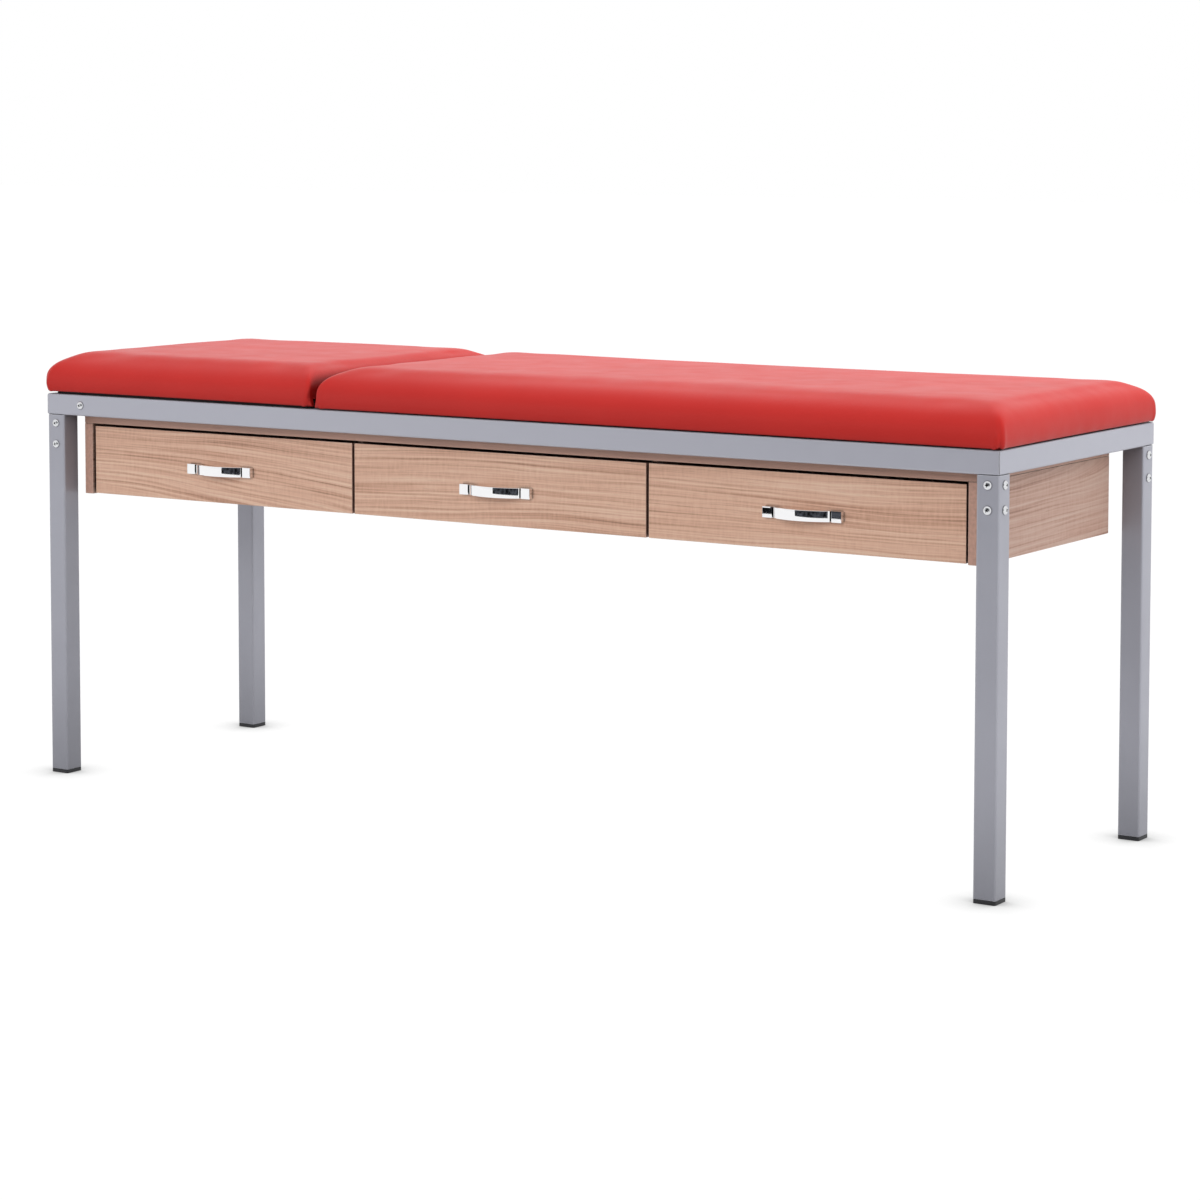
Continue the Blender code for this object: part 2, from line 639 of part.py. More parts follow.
def build_unit():
    """The open-bottomed carcass: top over two sides, a back and two dividers."""
    half = UNIT_LENGTH / 2
    inner = UNIT_INNER / 2
    back_face = UNIT_BACK - BACK_PANEL
    add_panel("unit_top", (-half, UNIT_FRONT, UNIT_TOP - TOP_PANEL), (half, UNIT_BACK, UNIT_TOP))
    add_panel("unit_side_left", (-half, UNIT_FRONT, UNIT_BOTTOM), (-inner, UNIT_BACK, PANEL_TOP))
    add_panel("unit_side_right", (inner, UNIT_FRONT, UNIT_BOTTOM), (half, UNIT_BACK, PANEL_TOP))
    back_low = (-inner + SEAT, back_face, UNIT_BOTTOM)
    add_panel("unit_back", back_low, (inner - SEAT, UNIT_BACK, PANEL_TOP))
    for step in range(1, DRAWER_COUNT):
        bay_x, bay = spaced(step - 1, BAY_PITCH, BAY)
        x = bay_x + (bay + DIVIDER) / 2
        low = (x - DIVIDER / 2, FRONT_REAR + DIVIDER_SETBACK, UNIT_BOTTOM + DIVIDER_RISE)
        high = (x + DIVIDER / 2, back_face - SEAT, PANEL_TOP)
        add_panel("unit_divider_" + DRAWER_NAMES[step - 1], low, high, steps=1)


def build_runners(name, bay_x, bay):
    """Two folded angles on the bay's walls, with the drawer's sides resting on their ledges."""
    ledge = RUNNER_GAP + BOX_SIDE
    for side_name, side in (("left", -1), ("right", 1)):
        outline = [
            (0, 0),
            (-side * ledge, 0),
            (-side * ledge, RUNNER_SHEET),
            (-side * RUNNER_SHEET, RUNNER_SHEET),
            (-side * RUNNER_SHEET, RUNNER_HEIGHT),
            (0, RUNNER_HEIGHT),
        ]
        mesh = plate_mesh(name + side_name, [outline], RUNNER_LENGTH, "XZ")
        x = bay_x + side * (bay / 2 - SEAT)
        y = BOX_FRONT + RUNNER_LENGTH / 2
        z = BOX_BOTTOM - SEAT - RUNNER_SHEET
        add_part(name + "_runner_" + side_name, mesh, (x, y, z), "zinc")


def build_drawer(order):
    """A drawer: front, two grooved sides, back, bottom and handle, on an empty that slides."""
    name = DRAWER_NAMES[order] + "_drawer"
    front_x, width = spaced(order, FRONT_PITCH, FRONT_WIDTH)
    bay_x, bay = spaced(order, BAY_PITCH, BAY)
    slide = make_empty(name + "_slide", (front_x, FRONT_FACE, (FRONT_TOP + FRONT_BOTTOM) / 2), ROOT)
    half = width / 2
    reach = (bay - BAY + BOX_WIDTH) / 2
    bottom_z = BOX_BOTTOM + BOTTOM_RISE
    front_low = (front_x - half, FRONT_FACE, FRONT_BOTTOM)
    front = add_panel(name + "_front", front_low, (front_x + half, FRONT_REAR, FRONT_TOP), parent=slide)
    grooved = [front]
    for side_name, side in (("left", -1), ("right", 1)):
        middle = bay_x + side * (reach - BOX_SIDE / 2)
        low = (middle - BOX_SIDE / 2, BOX_FRONT, BOX_BOTTOM)
        high = (middle + BOX_SIDE / 2, BOX_BACK, BOX_TOP)
        grooved.append(add_panel(name + "_side_" + side_name, low, high, "white_board", slide, 1))
    inside = reach - BOX_SIDE
    back_low = (bay_x - inside + SEAT, BOX_BACK - BOX_SIDE, bottom_z + BOTTOM + SEAT)
    add_panel(name + "_back", back_low, (bay_x + inside - SEAT, BOX_BACK, BOX_TOP), "white_board", slide, 1)
    bottom_low = Vector((bay_x - inside - GROOVE + SEAT, FRONT_REAR - GROOVE + SEAT, bottom_z))
    bottom_high = Vector((bay_x + inside + GROOVE - SEAT, BOX_BACK, bottom_z + BOTTOM))
    middle = (bottom_low + bottom_high) / 2
    size = bottom_high - bottom_low
    add_part(name + "_bottom", box_mesh(name + "_bottom", size), middle, "white_board", slide)
    room = size + Vector((2 * SEAT, 2 * SEAT, 2 * SEAT))
    groove = add_cutter(name + "_groove", box_mesh(name + "_groove", room), middle, slide)
    for piece in grooved:
        add_boolean(piece, groove, "DIFFERENCE")
    build_handle(name + "_handle", front_x, slide)
    build_runners(name, bay_x, bay)


def bow_height(x, reach, low, high):
    """Height of the bow's arc above the drawer front, at a distance from its middle."""
    rise = high - low
    radius = (reach * reach + rise * rise) / (2 * rise)
    return high - radius + math.sqrt(radius * radius - x * x)


def build_handle(name, x, slide):
    """A flat bow between two square pads, with a groove where the bow leaves each pad."""
    half = HANDLE_LENGTH / 2
    pad = half - HANDLE_PAD
    bow_end = pad - HANDLE_GROOVE
    inner_end = bow_end - HANDLE_BAND
    outer = []
    inner = []
    for step in range(HANDLE_STEPS + 1):
        share = 1 - 2 * step / HANDLE_STEPS
        top = bow_height(share * bow_end, bow_end, HANDLE_PAD_RISE, HANDLE_BOW)
        under = bow_height(share * inner_end, inner_end, 0.0, HANDLE_BOW - HANDLE_BAND)
        outer.append((share * bow_end, -top))
        inner.append((-share * inner_end, -under))
    groove_floor = -HANDLE_PAD_RISE + HANDLE_GROOVE_DEPTH
    right = [(half, 0.0), (half, -HANDLE_PAD_RISE), (pad, -HANDLE_PAD_RISE)]
    right += [(pad, groove_floor), (bow_end, groove_floor)]
    left = [(-u, v) for u, v in reversed(right)]
    outline = right + outer + left + inner
    mesh = plate_mesh(name, [outline], HANDLE_HEIGHT, "XY")
    place = (x + HANDLE_SHIFT, FRONT_FACE - SEAT, (FRONT_TOP + FRONT_BOTTOM) / 2 - HANDLE_DROP)
    handle = add_part(name, mesh, place, "chrome", slide)
    add_bevel(handle, HANDLE_EDGE, 1)


def main():
    head_axis = make_empty("head_section_axis", (JOINT_X, 0, AXIS_Z), ROOT)
    prop_axis = make_empty("prop_axis", (PIVOT_X, 0, PIVOT_Z), head_axis)
    end = HALF_LENGTH + CUSHION_OVERHANG
    build_frame()
    build_legs()
    build_section("head", -end, JOINT_X - SECTION_GAP / 2, -1, HEAD_STRIP, head_axis)
    build_section("main", JOINT_X + SECTION_GAP / 2, end, 1, MAIN_STRIP, None)
    build_hinge(head_axis)
    build_prop(prop_axis, head_axis)
    build_racks()
    build_unit()
    for order in range(DRAWER_COUNT):
        build_drawer(order)


clear_scene()
WORLD_PLACE = {}
PARTS = make_collection("examination_couch")
CUTTERS = make_collection("cutters")
MATERIALS = {name: make_material(name) for name in FINISHES}
ROOT = make_empty("couch", (0, 0, 0))
main()
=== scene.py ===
"""Looks of the examination couch, laid out as a Blender add-on and run as a script.

The packed model is the fixed frame. The operators dress it piece by piece: the studio, painted tubes and
plated fittings, laminate drawer unit, bow handles, screws and padded sections.
"""
import math

import bmesh
import bpy
import numpy as np
from bpy.props import FloatProperty, FloatVectorProperty, IntProperty, PointerProperty
from mathutils import Matrix, Vector, noise


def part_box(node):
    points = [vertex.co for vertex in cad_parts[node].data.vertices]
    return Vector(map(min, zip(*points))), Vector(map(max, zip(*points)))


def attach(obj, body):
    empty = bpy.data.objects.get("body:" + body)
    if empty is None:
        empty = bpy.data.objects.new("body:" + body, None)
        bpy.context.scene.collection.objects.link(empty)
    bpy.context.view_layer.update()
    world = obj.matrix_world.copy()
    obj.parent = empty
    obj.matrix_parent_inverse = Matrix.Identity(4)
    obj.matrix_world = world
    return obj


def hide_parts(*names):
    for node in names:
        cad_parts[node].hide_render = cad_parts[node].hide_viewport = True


bl_info = {
    "name": "Examination Couch Dresser",
    "version": (1, 0, 0),
    "blender": (4, 5, 0),
    "location": "View3D > Sidebar > Couch",
    "description": "Dresses the packed examination couch with covers, paint, laminate, handles and screws",
    "category": "Object",
}

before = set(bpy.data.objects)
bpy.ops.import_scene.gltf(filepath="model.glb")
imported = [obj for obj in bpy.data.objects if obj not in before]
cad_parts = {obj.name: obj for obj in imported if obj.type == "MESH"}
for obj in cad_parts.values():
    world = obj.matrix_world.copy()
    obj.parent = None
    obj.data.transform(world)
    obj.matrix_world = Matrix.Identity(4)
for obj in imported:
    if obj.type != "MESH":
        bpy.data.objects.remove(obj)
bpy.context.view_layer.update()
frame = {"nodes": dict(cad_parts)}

# The gap that pieces which touch keep between them.
SEAT = 0.0003
# Corner radius of a board's room in its pad, and how far it reaches below the hem.
POCKET_CORNER = 0.0243
POCKET_DROP = 0.02
# How far the wood's rings lean along Y, and where the drawers' fronts stand.
LEAN = 0.6
FRONT_Y = 0.245
DRAWERS = ("left", "middle", "right")
CORNERS = tuple(side + "_" + end for side in ("front", "back") for end in ("left", "right"))


def setting(kind, name, description, default, **traits):
    return kind(name=name, description=description, default=default, **traits)


def a_colour(*row):
    return setting(FloatVectorProperty, *row, subtype="COLOR", min=0.0, max=1.0)


def a_length(*row):
    return setting(FloatProperty, *row, unit="LENGTH", precision=4)


def a_share(*row, top=1.0):
    return setting(FloatProperty, *row, subtype="FACTOR", min=0.0, max=top)


def a_group(name, kind):
    return PointerProperty(name=name, description=kind.__doc__, type=kind)


class CushionSettings(bpy.types.PropertyGroup):
    """Sizes and colours of the two padded sections."""

    vinyl: a_colour("Vinyl", "Colour of the cover", (0.72, 0.036, 0.030))
    vinyl_shade: a_colour("Vinyl shade", "Darkest colour of the cover", (0.665, 0.032, 0.027))
    grain: a_length("Grain", "Width of one cell of the grain", 0.0013)
    # Painted shade: the cover darkens from hem_high down to hem_low, keeping the hem_shade share of its
    # colour.
    hem_low: a_length("Hem low", "Height up to which the cover is darkest", 0.697)
    hem_high: a_length("Hem high", "Height from which the colour is full", 0.735)
    # Painted shade in the joint: near another pad the cover is darkened towards crease_shade.
    crease: a_length("Crease", "How near another pad darkens the cover", 0.100)
    crease_shade: a_colour("Crease shade", "Colour of the cover deep in the joint", (0.24, 0.006, 0.005))
    gloss: a_share("Gloss", "Strength of the cover's reflections", 0.17)
    hem_shade: a_share("Hem shade", "Share of the colour left at the hem", 0.82)
    shoulder: a_length("Shoulder", "How far in the rounded edge runs at the ends", 0.046)
    long_shoulder: a_length("Long shoulder", "How far in the rounded edge runs at the front and back", 0.067)
    fullness: setting(FloatProperty, "Fullness", "How square the ends are", 2.8, min=1.5)
    long_fullness: setting(FloatProperty, "Long fullness", "How square the long sides are", 2.0, min=1.5)
    bulge: a_length("Bulge", "Height of the widest part above the hem", 0.016)
    hem_tuck: a_length("Hem tuck", "How far the hem is drawn in", 0.003)
    corner: a_length("Corner", "Radius of the corners at the hem", 0.010)
    joint_corner: a_share("Joint corner", "Share of the corners' radius left at the joint", 0.5)
    joint_flare: a_length("Joint flare", "How far the hem reaches out at the joint", 0.003)
    joint_ease: a_length("Joint ease", "How far the pad stands back at the joint", 0.0013)
    joint_run: a_length("Joint run", "How far the flare runs along the sides", 0.030)
    corner_ease: a_share("Corner ease", "How fast the corners' radius grows upwards", 0.10)
    side_pull: a_length("Side pull", "How far the sides are drawn in", 0.0025)
    spacing: a_length("Spacing", "Width of one cell of the pad's first mesh", 0.0125)
    slack: a_length("Slack", "How far the pad is let down before it is blown up", 0.0045)
    swell_cap: a_length("Swell cap", "How far a point may move as it is blown up", 0.0075)
    pressure: setting(FloatProperty, "Pressure", "Pressure inside the cover", 4.0, min=0.0)
    steps: setting(IntProperty, "Steps", "Frames the cover takes to settle", 20, min=2)
    wave: a_length("Wave", "Height of the soft waves in the cover", 0.0007)
    pleat: a_length("Pleat", "Depth of the fold at each corner", 0.0022)
    fold: a_length("Fold", "How far from the corner the fold runs", 0.024)
    fill: a_share("Fill", "How tight the pad is", 0.85)


class FrameSettings(bpy.types.PropertyGroup):
    """Colours of the tubes, the boards and the feet."""

    paint: a_colour("Paint", "Colour of the tubes", (0.460, 0.465, 0.530))
    paint_shade: a_colour("Paint shade", "Colour where the paint is thin", (0.425, 0.428, 0.490))
    # Painted light: the rails' paint is made lighter than the legs'.
    rail_tone: a_share("Rail tone", "Share of the paint's colour on the rails", 1.11, top=2.0)
    # Painted shade where the tubes are shut in by other pieces.
    shut_tone: a_share("Shut tone", "Share of the shade where the tubes are shut in", 0.40)
    shut_reach: a_length("Shut reach", "How near another piece shades the tubes", 0.30)
    peel: a_length("Peel", "Width of one dimple in the paint", 0.0022)
    edge: a_length("Edge", "Radius of the tubes' painted edges", 0.0022)
    # Painted highlight along the tubes' edges.
    edge_light: a_colour("Edge light", "Colour of the tubes' edges", (0.72, 0.72, 0.78))
    rail_low: a_length("Rail low", "Height of the rails' undersides", 0.654)
    plastic: a_colour("Plastic", "Colour of the foot caps", (0.010, 0.010, 0.012))
    board: a_colour("Board", "Colour of the cloth under the boards", (0.014, 0.012, 0.012))
    zinc: a_colour("Zinc", "Colour of the plated fittings", (0.78, 0.79, 0.81))


class UnitSettings(bpy.types.PropertyGroup):
    """Colours and grain of the drawer unit."""

    pale: a_colour("Pale wood", "Palest colour of the laminate", (0.93, 0.65, 0.49))
    light: a_colour("Light wood", "Main colour of the laminate", (0.84, 0.515, 0.372))
    middle: a_colour("Middle wood", "Colour between the grain lines", (0.65, 0.365, 0.25))
    dark: a_colour("Dark wood", "Colour of the grain lines", (0.34, 0.172, 0.104))
    edge: a_colour("Edge band", "Colour of the panels' edges", (0.68, 0.40, 0.31))
    # Painted shade deep in the gaps between the panels.
    crevice: a_colour("Crevice", "Colour deep in the panels' gaps", (0.010, 0.004, 0.003))
    # Painted highlight: a lighter line along the panels' edges.
    corner: a_length("Corner", "Width of the line along the panels' edges", 0.0018)
    corner_light: a_colour("Corner light", "Colour of the line along the panels' edges", (0.92, 0.72, 0.60))
    white: a_colour("White board", "Colour of the drawer boxes", (0.80, 0.79, 0.77))
    rings: setting(FloatProperty, "Rings", "Grain lines in one metre", 95.0, min=1.0)


class HandleSettings(bpy.types.PropertyGroup):
    """Sizes of the bow handles."""

    chrome: a_colour("Chrome", "Colour of the plated handles", (0.90, 0.90, 0.91))
    groove: a_length("Groove", "Width of the groove beside each pad", 0.0025)
    groove_depth: a_length("Groove depth", "Depth of the groove", 0.005)
    pad: a_length("Pad", "Length of each flat end", 0.018)
    pad_rise: a_length("Pad rise", "Height of the flat ends over the front", 0.0095)
    band: a_length("Band", "Thickness of the bow", 0.004)
    crown: a_length("Crown", "How far the face swells", 0.0005)
    steps: setting(IntProperty, "Steps", "Parts of the bow", 40, min=4)
    levels: setting(IntProperty, "Levels", "Parts of the height", 8, min=2)
    edge: a_length("Edge", "Radius of the edges", 0.0006)


class ScrewSettings(bpy.types.PropertyGroup):
    """Sizes and places of the pan-head screws."""

    head: a_length("Head", "Radius of a head", 0.0072)
    rise: a_length("Rise", "Height of a head", 0.0043)
    recess: a_length("Recess", "Length of a recess arm", 0.0039)
    recess_width: a_length("Recess width", "Width of a recess arm", 0.0017)
    recess_depth: a_length("Recess depth", "Depth of the cross recess", 0.0026)
    first: a_length("First row", "Upper screws' distance below the frame", 0.015)
    second: a_length("Second row", "Lower screws' distance below the frame", 0.053)
    rack_bolt: a_length("Rack bolt", "Distance of the rail's bolt from the head end", 0.078)
    seed: setting(IntProperty, "Seed", "Chooses how the heads are turned", 7)


class StageSettings(bpy.types.PropertyGroup):
    """Camera, lamps and floor."""

    place: setting(
        FloatVectorProperty, "Camera place", "Where the camera stands", (3.102548, -4.735627, 1.182748),
        subtype="TRANSLATION", precision=4,
    )
    turn: setting(
        FloatVectorProperty, "Camera turn", "Pitch down, roll and turn of the camera",
        [math.radians(angle) for angle in (4.142, 0.068, 32.782)], subtype="EULER",
    )
    lens: setting(FloatProperty, "Lens", "Focal length", 98.77, unit="CAMERA", min=1.0)
    shift: setting(FloatProperty, "Shift", "Upward shift of the picture", -0.2)
    sky: a_share("Sky", "Strength of the even light", 0.40, top=5.0)
    floor: a_colour("Floor", "Colour of the floor", (0.42, 0.42, 0.42))


class CouchSettings(bpy.types.PropertyGroup):
    """All the couch's settings."""

    cushion: a_group("Cushion", CushionSettings)
    frame: a_group("Frame", FrameSettings)
    unit: a_group("Unit", UnitSettings)
    handle: a_group("Handle", HandleSettings)
    screw: a_group("Screw", ScrewSettings)
    stage: a_group("Stage", StageSettings)


def set_up(thing, **traits):
    """Set several traits of a thing and hand it back."""
    for trait, value in traits.items():
        setattr(thing, trait, value)
    return thing


def scaled(colour, share):
    return [channel * share for channel in colour]


class Nodes:
    """A node tree that is built node by node."""

    def __init__(self, tree):
        self.tree = tree

    def feed(self, socket, value):
        if isinstance(value, bpy.types.NodeSocket):
            self.tree.links.new(value, socket)
        elif socket.type == "RGBA" and len(value) == 3:
            socket.default_value = (*value, 1.0)
        else:
            socket.default_value = value

    def node(self, kind, inputs=None, **traits):
        made = set_up(self.tree.nodes.new(kind), **traits)
        for key, value in (inputs or {}).items():
            self.feed(made.inputs[key], value)
        return made

    def out(self, kind, inputs=None, **traits):
        """The first output of a new node."""
        return self.node(kind, inputs, **traits).outputs[0]

    def math(self, operation, *values):
        return self.out("ShaderNodeMath", dict(enumerate(values)), operation=operation)

    def seen(self, level):
        """1 to the camera, in mirrors and through glass, and at least a level to other light."""
        path = self.node("ShaderNodeLightPath").outputs
        for ray in ("Is Camera Ray", "Is Glossy Ray", "Is Transmission Ray"):
            level = self.math("MAXIMUM", path[ray], level)
        return level


class Finish(Nodes):
    """A procedural finish: a material, its nodes and its Principled shader."""

    def __init__(self, name, roughness=0.5, metallic=0.0):
        self.material = bpy.data.materials.new(name)
        self.material.use_nodes = True
        super().__init__(self.material.node_tree)
        self.shader = self.tree.nodes["Principled BSDF"]
        self.set(roughness=roughness, metallic=metallic)
        place = self.node("ShaderNodeTexCoord").outputs
        self.spot, self.facing = place["Object"], place["Normal"]

    def set(self, **inputs):
        """Feed the shader and hand the material back."""
        for name, value in inputs.items():
            self.feed(self.shader.inputs[name.replace("_", " ").title().replace("Ior", "IOR")], value)
        return self.material

    def surface(self, shader):
        """Put another shader on the surface and hand the material back."""
        self.feed(self.tree.nodes["Material Output"].inputs["Surface"], shader.outputs[0])
        return self.material

    def split(self, vector):
        return self.node("ShaderNodeSeparateXYZ", {"Vector": vector}).outputs

    def mapped(self, scale, source=None, **values):
        values.update(Vector=source or self.spot, Scale=scale)
        return self.out("ShaderNodeMapping", values)

    def noise(self, scale, detail, vector=None, roughness=0.5):
        values = {"Vector": vector or self.spot, "Scale": scale, "Detail": detail, "Roughness": roughness}
        return self.node("ShaderNodeTexNoise", values).outputs["Fac"]

    def spread(self, value, low, high, new_low=0.0, new_high=1.0):
        values = dict(enumerate((value, low, high, new_low, new_high)))
        return self.out("ShaderNodeMapRange", values, clamp=True)

    def ramp(self, value, stops):
        made = self.node("ShaderNodeValToRGB", {"Fac": value})
        line = made.color_ramp.elements
        while len(line) < len(stops):
            line.new(1.0)
        for element, (place, colour) in zip(line, stops):
            set_up(element, position=place, color=(*colour, 1.0))
        return made.outputs["Color"]

    def mix(self, share, first, second):
        return self.node("ShaderNodeMix", {0: share, 6: first, 7: second}, data_type="RGBA").outputs[2]

    def open_share(self, distance, low=0.25, high=0.60):
        """How open a spot is to its surroundings, as a share."""
        shut = self.node("ShaderNodeAmbientOcclusion", {"Distance": distance}, samples=8).outputs["AO"]
        return self.spread(shut, low, high)

    def rounded(self, radius):
        """A normal that rounds the edges, and how far it leans from the face's own, as a share."""
        normal = self.out("ShaderNodeBevel", {"Radius": radius}, samples=4)
        plain = self.node("ShaderNodeNewGeometry").outputs["Normal"]
        lean = self.node("ShaderNodeVectorMath", {0: normal, 1: plain}, operation="DOT_PRODUCT")
        return normal, self.spread(lean.outputs["Value"], 0.80, 0.99, 1.0, 0.0)

    def bump(self, height, distance, strength=1.0, under=None):
        values = {"Height": height, "Distance": distance, "Strength": strength}
        if under is not None:
            values["Normal"] = under
        return self.out("ShaderNodeBump", values)


def vinyl_cover(look):
    """Smooth red vinyl: fine grain cells, soft ripples, a little wear in the gloss, painted shade towards the
    hem and painted shade in the joint.
    """
    made = Finish("vinyl_cover")
    cloud = made.noise(6.0, 3.0)
    values = {"Vector": made.spot, "Scale": 1.0 / look.grain}
    cells = made.node("ShaderNodeTexVoronoi", values, feature="SMOOTH_F1").outputs["Distance"]
    pits = made.noise(2.3 / look.grain, 2.0)
    ripple = made.noise(1.6, 2.0, made.mapped((3.0, 9.0, 9.0)))
    # Painted shade: the cover darkens towards the hem, from full colour at hem_high to the hem_shade share at
    # hem_low.
    painted_shading = made.spread(made.split(made.spot)["Z"], look.hem_low, look.hem_high, look.hem_shade, 1.0)
    cover = made.mix(made.spread(cloud, 0.30, 0.72), look.vinyl_shade, look.vinyl)
    grain = made.bump(made.math("ADD", cells, made.math("MULTIPLY", pits, 0.5)), 0.00012, 0.30)
    # Painted shade in the joint, where another pad is near.
    crease = made.open_share(look.crease, 0.62, 0.99)
    return made.set(
        specular_ior_level=look.gloss,
        base_color=made.mix(crease, look.crease_shade, made.mix(painted_shading, (0.0, 0.0, 0.0), cover)),
        roughness=made.spread(made.noise(17.0, 4.0), 0.25, 0.75, 0.34, 0.42),
        normal=made.bump(ripple, 0.004, 0.25, grain),
    )


def tube_paint(look):
    """Satin paint on steel tube: fine dimples, faint clouding, soft edges with a painted highlight, painted
    light on the rails and painted shade where it is shut in.
    """
    made = Finish("tube_paint", metallic=0.15)
    # The edges get a painted highlight in the edge colour, besides their rounded normal.
    normal, lean = made.rounded(look.edge)
    peel = made.noise(1.0 / look.peel, 2.0)
    cloud = made.noise(3.0, 4.0, made.mapped((2.0, 5.0, 2.0)))
    paint = made.mix(made.spread(cloud, 0.3, 0.7), look.paint_shade, look.paint)
    # Painted light: the paint turns lighter above rail_low, on the rails.
    rails = made.spread(made.split(made.spot)["Z"], look.rail_low - 0.002, look.rail_low)
    paint = made.mix(rails, paint, scaled(look.paint, look.rail_tone))
    # Painted shade where other pieces are near the tubes.
    shut_in = scaled(look.paint_shade, look.shut_tone)
    paint = made.mix(made.open_share(look.shut_reach, 0.20, 0.88), shut_in, paint)
    return made.set(
        base_color=made.mix(lean, paint, look.edge_light),
        roughness=made.spread(made.noise(31.0, 3.0), 0.25, 0.75, 0.30, 0.40),
        normal=made.bump(peel, 0.00008, 0.35, normal),
    )


def foot_plastic(look):
    """Black plastic with a fine pebble."""
    made = Finish("foot_plastic")
    pebble = made.noise(1500.0, 2.0)
    return made.set(
        base_color=made.mix(made.noise(60.0, 3.0), look.plastic, scaled(look.plastic, 2.2)),
        roughness=made.spread(pebble, 0.3, 0.7, 0.42, 0.58),
        normal=made.bump(pebble, 0.0001, 0.4),
    )


def board_cloth(look):
    """Dark dust cloth stretched over the underside of the boards."""
    made = Finish("board_cloth", roughness=0.9)
    thread = 1.0 / 0.0011
    values = {"Vector": made.spot, "Scale": thread / 6.0}
    waves = [made.node("ShaderNodeTexWave", values, bands_direction=way).outputs["Fac"] for way in "XY"]
    weave = made.math("MAXIMUM", *waves)
    fluff = made.noise(90.0, 5.0)
    shade = made.math("MULTIPLY", weave, made.spread(fluff, 0.2, 0.8, 0.6, 1.0))
    return made.set(
        base_color=made.mix(shade, scaled(look.board, 0.5), scaled(look.board, 1.6)),
        normal=made.bump(weave, 0.0002, 0.5),
    )


def zinc_plate(look, name="zinc_plate", metal=1.0, reach=0.002, shut=0.35, clear=0.70):
    """Bright zinc plate with its faint crystal pattern, with painted shade where something is within reach.
    """
    made = Finish(name, metallic=metal)
    crystal = made.node("ShaderNodeTexVoronoi", {"Vector": made.spot, "Scale": 420.0}).outputs["Color"]
    shade = made.out("ShaderNodeRGBToBW", {"Color": crystal})
    plate = made.mix(shade, scaled(look.zinc, 0.88), look.zinc)
    return made.set(
        base_color=made.mix(made.open_share(reach, shut, clear), scaled(look.zinc, 0.05), plate),
        roughness=made.spread(made.noise(260.0, 3.0), 0.2, 0.8, 0.12, 0.24),
    )


def handle_chrome(look):
    """Polished plate, darkened in the grooves as painted shade."""
    made = Finish("handle_chrome", metallic=1.0)
    rubbed = made.noise(1.0, 3.0, made.mapped((60.0, 60.0, 900.0)))
    plate = made.mix(made.noise(45.0, 2.0), look.chrome, scaled(look.chrome, 0.96))
    # Painted shade: near-black in the grooves beside the pads.
    return made.set(
        base_color=made.mix(made.open_share(0.006), scaled(look.chrome, 0.03), plate),
        roughness=made.spread(rubbed, 0.3, 0.8, 0.035, 0.075),
    )


